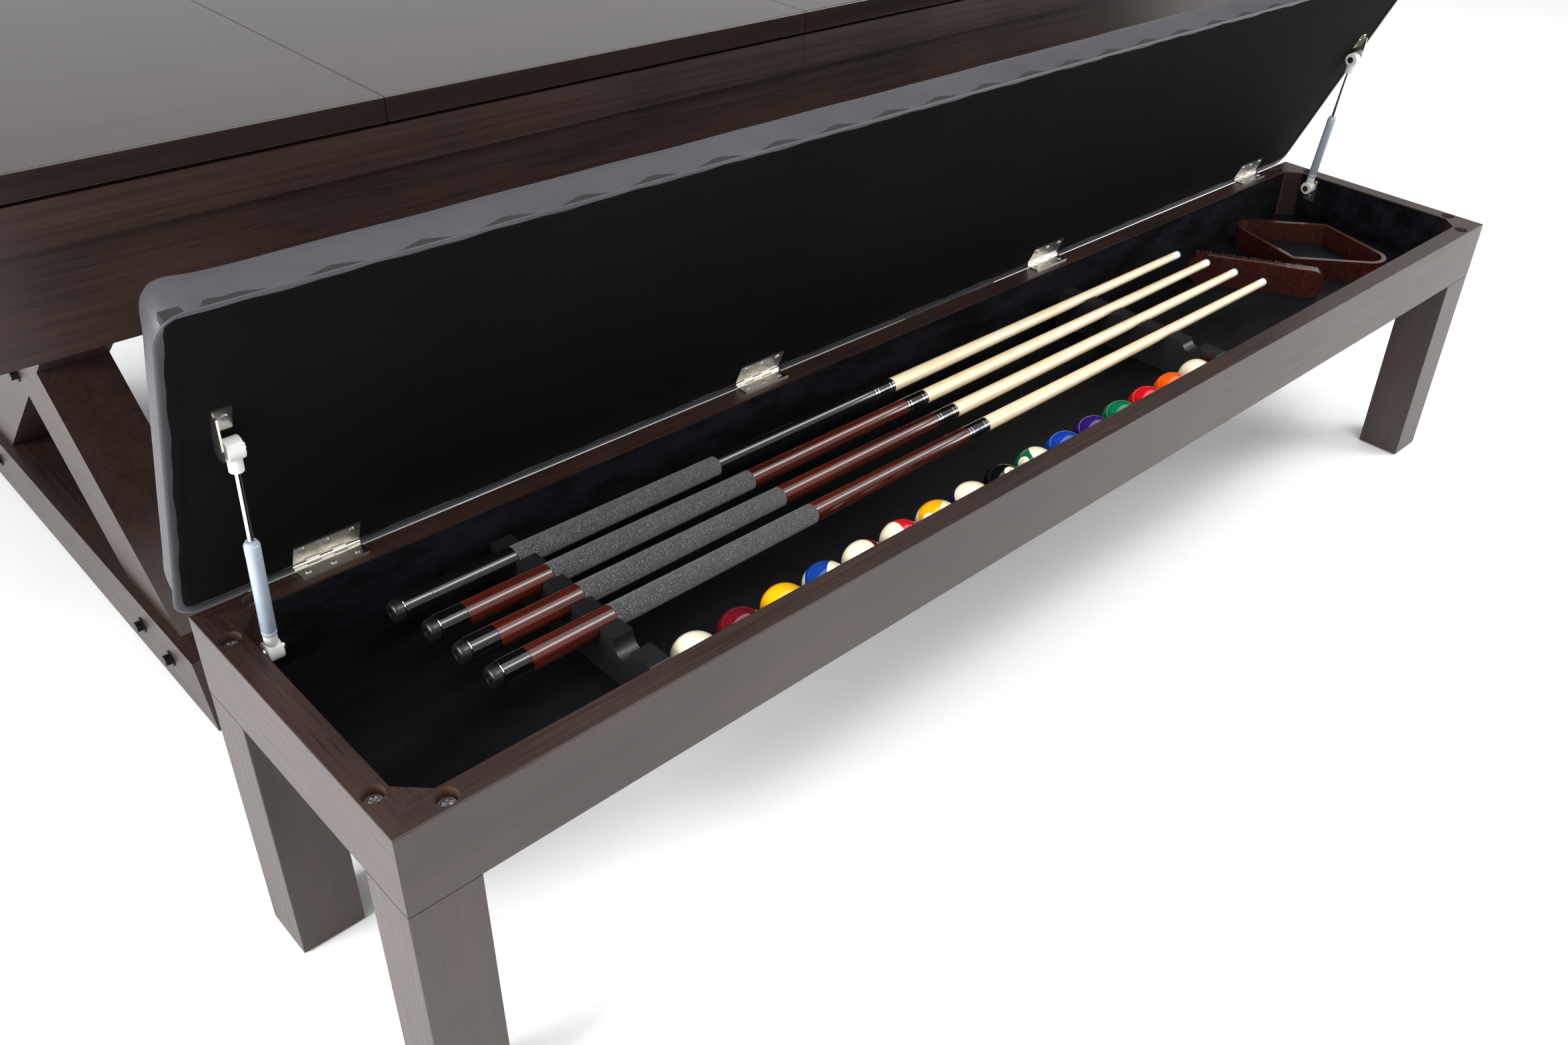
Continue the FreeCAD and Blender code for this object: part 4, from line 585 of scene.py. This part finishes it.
def gather(points):
    # Pulls and pleats: near each lower corner the surface moves in and out as sin(26 a), a being the angle
    # about the corner, and fades with height and with distance from the corner.
    x, y, z = points[:, 0] - lid["left"], points[:, 1] - lid["rear"], points[:, 2]
    out = points.copy()
    for cx in (lid["corner"], lid["length"] - lid["corner"]):
        for cy in (-lid["corner"], -lid["depth"] + lid["corner"]):
            dx, dy = x - cx, y - cy
            outside = ((np.sign(cx - lid["length"] / 2) * dx > -0.05)
                       & (np.sign(cy + lid["depth"] / 2) * dy > -0.05))
            reach = np.hypot(dx, dy)
            a = np.arctan2(dy, dx)
            fold = lid["pleats"] * np.sin(26 * a) * np.exp(-((z - 0.006) / 0.02) ** 2)
            fold = fold * np.exp(-(np.maximum(reach - 0.04, 0) / 0.03) ** 2) * (reach > 0.012)
            out[:, 0] += np.where(outside, fold * dx / np.maximum(reach, 1e-6), 0)
            out[:, 1] += np.where(outside, fold * dy / np.maximum(reach, 1e-6), 0)
    ripple = 0.0005 * np.sin(x * 31) * np.sin(x * 12.7 + 1) * (z > 0.03)
    out[:, 2] += ripple * np.clip((z - 0.03) / 0.02, 0, 1)
    inner = (x > 0.032) & (x < lid["length"] - 0.032) & (y < -0.032) & (y > -lid["depth"] + 0.032)
    under = np.where(inner, 0.0037, 0.0027)
    out[:, 2] = np.where(out[:, 2] < lid["heldBelow"], under, out[:, 2])
    return out


def makeLidCushion():
    # The swollen, pleated shell turned open, with one round of subdivision.
    points, faces = paddedShell()
    piece = newPiece("lidCushion", points, faces, vinyl, "lid", "vinyl")
    final = openLid(gather(inflate(piece)))
    piece.data.vertices.foreach_set("co", final.ravel())
    piece.data.update()
    piece.data.materials.clear()
    piece.data.materials.append(vinyl)
    piece.data.polygons.foreach_set("use_smooth", np.ones(len(piece.data.polygons), bool))
    smoother = piece.modifiers.new("smooth", "SUBSURF")
    smoother.levels = smoother.render_levels = 1
    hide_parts("lid_cushion")
    print("lid cushion:", len(piece.data.polygons), "faces")


cover = {"length": 2.128, "depth": 0.409, "corner": 0.006, "right": 0.003, "back": 0.006, "hem": 0.0045}


def makeCoverHem():
    # The cover's folded hem: a flat half-round section, 9 mm wide and 0.6 mm high, carried round the cover's
    # outline and wavering in and out by two sines of the distance along it.
    s, x, y, nx, ny = roundedOutline(cover["length"], cover["depth"], cover["corner"], 900)
    t = np.linspace(0, math.pi, 9)[:, None]
    wobble = 0.0007 * np.sin(s * 47) + 0.0005 * np.sin(s * 113 + 1)
    offset = cover["hem"] * np.cos(t) + wobble
    height = 0.0025 - 0.0006 * np.sin(t) ** 0.6
    points = np.stack([x + nx * offset + cover["right"], y + ny * offset - cover["back"], height + 0 * x],
                      axis=-1)
    newPiece("coverHem", openLid(points).reshape(-1, 3), gridFaces(9, len(s)), twill, "lid", "dust_cover")


def makeVinylFold():
    # The vinyl folded under the board's edge: a flat round-edged section carried round the lid. In
    # millimetres, inset = 7.5 - 7 |cos t| to the power 0.6, with the sign of cos t, height = 4.7 + 2.2
    # sin t, and point = outline - inset * outward normal, at that height.
    s, x, y, nx, ny = roundedOutline(lid["length"], lid["depth"], lid["corner"], 1200)
    t = np.linspace(0, 2 * math.pi, 25)[:, None]
    inset = 0.0075 - 0.0070 * np.sign(np.cos(t)) * np.abs(np.cos(t)) ** 0.6
    height = 0.0047 + 0.0022 * np.sin(t)
    points = np.stack([x - nx * inset + lid["left"], y - ny * inset + lid["rear"], height + 0 * x], axis=-1)
    newPiece("vinylFold", openLid(points).reshape(-1, 3), gridFaces(25, len(s)), vinyl, "lid", "vinyl")


makeLidCushion()
makeCoverHem()
makeVinylFold()


cue = {"starts": [0.187, 0.183, 0.179, 0.168], "firstY": 0.1555, "pitch": 0.052, "height": 0.05217,
       "drop": -0.0024}


def alongCues(name, profile, material, slotName, replaced, segments=40):
    # The same (distance, radius) profile, in millimetres, turned about each of the four cues.
    surfaces = []
    direction = (1, 0, -cue["drop"])
    for k, start in enumerate(cue["starts"]):
        origin = benchPlace(start, cue["firstY"] + cue["pitch"] * k, bench["wellFloor"] + cue["height"])
        surfaces.append(lathe(np.array(profile) / 1000, origin, direction, segments))
    points, faces = joined(surfaces)
    return newPiece(name, points, faces, material, "cues", slotName, replaced)


def makeCues():
    # Nine turned segments from the bumper to the tip, then the bright rings of the joint.
    alongCues("bumpers", [(0.4, 0), (0.4, 3), (1.6, 3.4), (1.6, 5), (0.3, 5.6), (0, 8), (0.6, 10.4),
                          (2.4, 12.2), (6, 13.1), (10.8, 13.4), (11.2, 12.6), (12, 12.6), (12, 0)],
              bumperRubber, "bumper", ["cue_bumpers"])
    alongCues("buttCaps", [(12, 0), (12, 13.6), (12.8, 14.5), (44.6, 14.45), (45, 13.8), (45, 0)],
              gloss, "cue_black", ["cue_butt_caps"])
    alongCues("sleeves", [(45, 0), (45, 14.3), (45.3, 14.45), (149.6, 13.92), (150, 13.5), (150, 0)],
              cueLacquer, "mahogany", ["cue_sleeves"])
    alongCues("wraps", [(150, 0), (150, 13.2), (150.7, 13.85), (444.2, 12.5), (445, 11.9), (445, 0)],
              linen, "linen_wrap", ["cue_wraps"], 56)
    alongCues("forearms", [(445, 0), (445, 12.2), (445.4, 12.4), (721.7, 10.92), (722, 10.6), (722, 0)],
              cueLacquer, "mahogany", ["cue_forearms"])
    alongCues("collars", [(722, 0), (722, 10.9), (741.6, 10.75), (741.8, 10.3), (742.4, 10.3),
                          (742.6, 10.75), (762, 10.6), (762, 0)], gloss, "cue_black", ["cue_collars"])
    alongCues("shafts", [(762, 0), (762, 10.45), (1000, 9.1), (1250, 7.7), (1449.7, 6.6), (1450, 0)],
              maple, "maple", ["cue_shafts"])
    alongCues("ferrules", [(1450, 0), (1450, 6.6), (1468, 6.5), (1468, 0)], ferruleResin, "ferrule",
              ["cue_ferrules"])
    alongCues("tips", [(1468, 0), (1468, 6.5), (1470.6, 6.45), (1472, 5.2), (1472.8, 3), (1473, 0)],
              tipLeather, "tip_leather", ["cue_tips"])
    for number, place in enumerate((723.6, 729.0, 753.0, 758.6), start=1):  # rings by the joint
        outer = 10.98 - (place - 722) * 0.0075
        ring = [(place, 9.0), (place, outer), (place + 1.3, outer), (place + 1.3, 9.0), (place, 9.0)]
        alongCues("jointRing%d" % number, ring, ringSilver, "cue_black", ())


makeCues()


ball = {"radius": 0.028575, "firstX": 0.380, "pitch": 0.0633, "y": 0.064975, "z": 0.028875,
        "figures": 0.0105}
ballSet = [  # number, colour, striped, the stripe's axis, where the number faces
    (7, "#5c0f1a", False, (0, 0, 1), (0.1, 0.3, -0.95)),
    (1, "#f2b011", False, (0, 0, 1), (0.1, 0.3, -0.95)),
    (10, "#123a8c", True, (0.52, -0.69, 0.50), (-0.80, -0.41, 0.44)),
    (15, "#6b1420", True, (-0.73, 0.03, 0.68), (0.70, -0.65, 0.31)),
    (11, "#c41a22", True, (-0.93, 0.20, 0.31), (0.21, -0.58, 0.79)),
    (9, "#f0a80e", True, (0.45, -0.77, 0.45), (-0.82, -0.13, 0.55)),
    (12, "#2c1558", True, (-0.22, -0.30, 0.93), (0.55, -0.80, -0.22)),
    (8, "#0b0b0c", False, (0, 0, 1), (-0.06, -0.35, 0.94)),
    (14, "#0f5a3a", True, (0.47, -0.36, 0.80), (-0.93, 0.24, 0.29)),
    (2, "#143a9c", False, (0, 0, 1), (0.1, 0.3, -0.95)),
    (4, "#2e1566", False, (0, 0, 1), (0.1, 0.3, -0.95)),
    (6, "#0d6b44", False, (0, 0, 1), (0.1, 0.3, -0.95)),
    (3, "#c9151f", False, (0, 0, 1), (0.1, 0.3, -0.95)),
    (5, "#ef5a12", False, (0, 0, 1), (0.1, 0.3, -0.95)),
    (13, "#ee5c14", True, (-0.71, 0.15, 0.68), (0.58, -0.77, 0.28))]
cream = "#efe5c9"


def ballPlace(k):
    # The centre of the ball that is k places along the row, counted from the cue ball.
    return benchPlace(ball["firstX"] + ball["pitch"] * k, ball["y"], bench["wellFloor"] + ball["z"])


def unit(v):
    # The vector over its own length.
    v = np.array(v, float)
    return v / np.linalg.norm(v)


def ballSurface(k):
    # Points on a sphere: latitude rings from pole to pole about the vertical.
    a = np.linspace(0, math.pi, 33)
    return lathe(np.stack([-np.cos(a), np.sin(a)], axis=1) * ball["radius"], ballPlace(k), (0, 0, 1), 64)


def resin(name, colour, striped, centre, stripeAxis, face):
    # Phenolic resin, cast, ground and polished to a glassy shine: a band 29 mm wide where a striped ball's
    # points lie under 14.5 mm from its middle plane, and a cream disc where they lie nearest the face.
    material, tree, shader = newMaterial(name, IOR=1.6, Roughness=0.06, Coat_Weight=0.5,
                                         Coat_Roughness=0.03)
    place = addNode(tree, "TexCoord", output="Object")
    out = addNode(tree, "VectorMath", {0: place, 1: tuple(centre)}, operation="SUBTRACT")
    body = linear(colour)
    if striped:
        lean = addNode(tree, "VectorMath", {0: out, 1: tuple(stripeAxis)}, "Value", operation="DOT_PRODUCT")
        lean = addNode(tree, "Math", {0: lean}, operation="ABSOLUTE")
        lean = addNode(tree, "MapRange", {"Value": lean, "From Min": 0.0144, "From Max": 0.0146})
        body = addNode(tree, "Mix", {0: lean, 6: body, 7: linear(cream)}, 2, data_type="RGBA")
    if face is not None:
        toward = addNode(tree, "VectorMath", {0: out, 1: tuple(face)}, "Value", operation="DOT_PRODUCT")
        toward = addNode(tree, "MapRange", {"Value": toward, "From Min": 0.02695, "From Max": 0.02705})
        body = addNode(tree, "Mix", {0: toward, 6: body, 7: linear(cream)}, 2, data_type="RGBA")
    mottle = addNode(tree, "TexNoise", {"Vector": patternSpace(tree, (40, 40, 40)), "Scale": 1.0,
                                        "Detail": 2.0, "Roughness": 0.55})
    mottle = addNode(tree, "MapRange", {"Value": mottle, "From Min": 0.3, "From Max": 0.7, "To Max": 0.05})
    body = addNode(tree, "Mix", {0: mottle, 6: body, 7: linear("#000000")}, 2, data_type="RGBA")
    connect(tree, shader, Base_Color=body)
    return material


def makeNumber(k, number, face, ink):
    # Figures laid on the ball: each point of the flat text goes out from the centre to just over the ball.
    curve = bpy.data.curves.new("figures", "FONT")
    curve.body, curve.size = str(number), ball["figures"]
    curve.align_x = curve.align_y = "CENTER"
    curve.resolution_u = 3
    holder = bpy.data.objects.new("figures", curve)
    bpy.context.scene.collection.objects.link(holder)
    bpy.context.view_layer.update()
    flat = evaluatedCopy(holder)
    bpy.data.objects.remove(holder)
    across, up, along = frameAlong(face)
    co = meshPoints(flat)
    points = along * ball["radius"] + co[:, :1] * across + co[:, 1:2] * up
    points = points / np.linalg.norm(points, axis=1, keepdims=True)
    points = points * (ball["radius"] + 0.00006) + ballPlace(k)
    flat.vertices.foreach_set("co", points.ravel())
    flat.materials.append(ink)
    piece = bpy.data.objects.new("figures%d" % number, flat)
    bpy.context.scene.collection.objects.link(piece)
    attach(piece, "balls")


def makeBalls():
    # The cue ball and fifteen object balls in a row; a striped ball's number faces square to its
    # stripe's axis.
    ink = evenFinish("ballInk", "#0a0a0a", "#141414", 0.2, 60.0, 0.0001, 0.02)
    white = resin("creamResin", cream, False, ballPlace(0), (0, 0, 1), None)
    newPiece("cueBall", *ballSurface(0), white, "balls", "ball_white", ["cue_ball"])
    for k, (number, colour, striped, stripeAxis, face) in enumerate(ballSet, start=1):
        axis = unit(stripeAxis)
        face = unit(np.array(face) - (np.dot(face, axis) * axis if striped else 0))
        material = resin("resin%d" % number, colour, striped, ballPlace(k), axis, face)
        newPiece("ball%d" % number, *ballSurface(k), material, "balls", "ball_resin",
                 ["object_balls"] if k == 1 else ())
        makeNumber(k, number, face, ink)


makeBalls()
print("cues and balls made")


def makeStruts():
    # The cylinder: (distance, radius) in millimetres turned about the stroke, with a groove rolled in near
    # each end and a nose cap round the rod.
    for side in ("left", "right"):
        tilt, stroke = joints[side + "_strut_tilt"], joints[side + "_strut_stroke"]
        profile = [(22, 0), (22, 6.4), (23, 7.2), (24.2, 7.5), (27, 7.5), (27.6, 7.1), (28.6, 7.1),
                   (29.2, 7.5), (124, 7.5), (124.4, 7.15), (125.4, 7.15), (125.8, 7.6), (137, 7.6),
                   (138.6, 7.1), (139.4, 6.0), (141.5, 5.6), (141.5, 3.15), (30, 3.15), (30, 0)]
        points, faces = lathe(np.array(profile) / 1000, tilt["pos_m"], stroke["axis"], 48)
        newPiece(side + "StrutCase", points, faces, greyEnamel, side + "_strut_body", "strut_case",
                 [side + "_strut_cylinder"])


hinge = {"first": 0.150, "pitch": 0.613, "screwPitch": 0.028, "head": 0.0036, "headHeight": 0.0013}


def makeScrews():
    # Three cross heads on each hinge leaf; the middle one sits 1.5 mm out of line with the other two.
    boxHeads, lidHeads = [], []
    down = hingeAxis - openLid([(0, 0, 1)])[0]
    down[0] = 0
    for k in range(4):
        for j in (-1, 0, 1):
            x = hinge["first"] + hinge["pitch"] * k + hinge["screwPitch"] * j
            y = -0.0130 if j else -0.0145
            spot = np.array([bench["left"] + x, hingeAxis[1] + y, hingeAxis[2] - 0.0009])
            boxHeads.append(crossHead(spot, (0, 0, 1), hinge["head"], hinge["headHeight"],
                                      0.4 + j + k * 0.7))
            y = -0.0260 if j else -0.0245
            seat = openLid([(x, y, 0.0009)])[0]
            lidHeads.append(crossHead(seat, down, hinge["head"], hinge["headHeight"], 0.9 * j + k * 1.3))
    newPiece("rimScrewHeads", *joined(boxHeads), zinc, "bench", "zinc_steel")
    newPiece("lidScrewHeads", *joined(lidHeads), zinc, "lid", "zinc_steel")


legBolt = {"inset": 0.015, "along": 0.060, "sunk": 0.0135, "head": 0.0085, "headHeight": 0.0058}
counterbore = [(-0.1, 11.48), (-13.9, 11.48), (-13.9, 4.6), (-13.7, 4.6), (-13.7, 11.3), (-0.1, 11.3),
               (-0.1, 11.48)]  # a thin cup's section, in millimetres, as (height, radius)


def makeLegBolts():
    # Two bolts for each leg, one over each rail, each with its head in a counterbore of the rim.
    inset, along, length, depth = legBolt["inset"], legBolt["along"], bench["length"], bench["depth"]
    heads, liners = [], []
    turn = 0.3
    for xLong, xShort in ((along, inset), (length - along, length - inset)):
        for yLong, yShort in ((along, inset), (depth - along, depth - inset)):
            for x, y in ((xLong, yShort), (xShort, yLong)):
                turn += 0.83
                heads.append(crossHead(benchPlace(x, y, bench["rim"] - legBolt["sunk"]), (0, 0, 1),
                                       legBolt["head"], legBolt["headHeight"], turn, 48, 18))
                liners.append(lathe(np.array(counterbore) / 1000, benchPlace(x, y, bench["rim"]),
                                    (0, 0, 1), 40))
    newPiece("legBoltHeads", *joined(heads), zinc, "bench", "zinc_steel")
    newPiece("counterboreWalls", *joined(liners), bareWood, "bench", "stained_wood")


brush = {"x": 1.7288, "y": 0.2077, "turn": math.radians(-58.5), "length": 0.229, "width": 0.050,
         "block": 0.018, "tuft": 0.0275, "columns": 30, "rows": 5}


def makeBristles():
    # Tufts in rows behind the block: each a flared bundle that leans a little its own way.
    generator = np.random.default_rng(7)
    c, s = math.cos(brush["turn"]), math.sin(brush["turn"])
    tufts = []
    for x in np.linspace(0.014 - brush["length"] / 2, brush["length"] / 2 - 0.014, brush["columns"]):
        for z in np.linspace(0.012, brush["width"] - 0.012, brush["rows"]):
            lean = generator.uniform(-0.05, 0.05, 2)
            root = benchPlace(brush["x"] + x * c - brush["block"] * s,
                              brush["y"] + x * s + brush["block"] * c,
                              bench["wellFloor"] + z)
            length = brush["tuft"] + generator.uniform(-0.002, 0.0)
            profile = [(-0.001, 0), (0, 0.0024), (length * 0.5, 0.0029), (length - 0.0008, 0.0034),
                       (length, 0.0022), (length, 0)]
            tufts.append(lathe(profile, root, (-s + lean[0] * c, c + lean[0] * s, lean[1]), 10))
    newPiece("bristleTufts", *joined(tufts), bristle, "brush", "bristle", ["brush_bristles"])


makeStruts()
makeScrews()
makeLegBolts()
makeBristles()
print("struts, screws and bristles made")


studio = {"floor": 60.0, "floorColour": 0.93, "strength": 0.6}


def makeStage():
    # A plain pale floor, wide enough to run out of sight, and an even white surround.
    size, pale = studio["floor"], studio["floorColour"]
    points = np.array([(-size, -size, 0), (size, -size, 0), (size, size, 0), (-size, size, 0)])
    mesh = bpy.data.meshes.new("floor")
    mesh.from_pydata(points.tolist(), [], [(0, 1, 2, 3)])
    floor = bpy.data.objects.new("floor", mesh)
    bpy.context.scene.collection.objects.link(floor)
    material, tree, shader = newMaterial("paleFloor", Roughness=0.9)
    shader.inputs["Base Color"].default_value = (pale, pale, pale, 1)
    mesh.materials.append(material)
    world = bpy.data.worlds.new("studio")
    world.use_nodes = True
    background = world.node_tree.nodes.get("Background")
    background.inputs["Color"].default_value = (1, 1, 1, 1)
    background.inputs["Strength"].default_value = studio["strength"]
    bpy.context.scene.world = world


def addLight(name, place, target, size, power):
    # A rectangular lamp whose face looks from its place to its target.
    data = bpy.data.lights.new(name, "AREA")
    data.shape, data.size, data.size_y, data.energy = "RECTANGLE", size[0], size[1], power
    lamp = bpy.data.objects.new(name, data)
    bpy.context.scene.collection.objects.link(lamp)
    across, up, along = frameAlong(np.array(place) - np.array(target))
    matrix = np.eye(4)
    matrix[:3, 0], matrix[:3, 1], matrix[:3, 2], matrix[:3, 3] = across, up, along, place
    lamp.matrix_world = matrix.T


camera = {"place": (-1.28427, -1.78977, 1.34527), "turn": (55.96899, -2.78681, -44.95540), "lens": 31.18,
          "shift": (-0.0467, -0.0119)}


def makeCamera():
    # Stands in front of the bench's left end and looks down along it; the turn is in degrees.
    data = bpy.data.cameras.new("camera")
    data.lens, data.sensor_width = camera["lens"], 36.0
    data.shift_x, data.shift_y = camera["shift"]
    data.clip_start, data.clip_end = 0.05, 200.0
    holder = bpy.data.objects.new("camera", data)
    holder.location = camera["place"]
    holder.rotation_euler = [math.radians(v) for v in camera["turn"]]
    bpy.context.scene.collection.objects.link(holder)
    bpy.context.scene.camera = holder


makeStage()
addLight("ceiling", (0.0, -1.0, 6.0), (0.0, -1.0, 0.0), (10.0, 10.0), 300.0)
addLight("overhead", (0.6, -2.4, 3.4), (0.3, -0.6, 0.3), (4.0, 0.7), 60.0)
addLight("leftSide", (-4.2, -0.6, 1.6), (-0.6, -0.4, 0.5), (2.6, 2.2), 260.0)
addLight("farRight", (3.6, -3.4, 1.8), (0.6, -0.9, 0.3), (2.2, 1.6), 90.0)
makeCamera()
bpy.context.scene.view_settings.view_transform = "Standard"
print("scene ready")
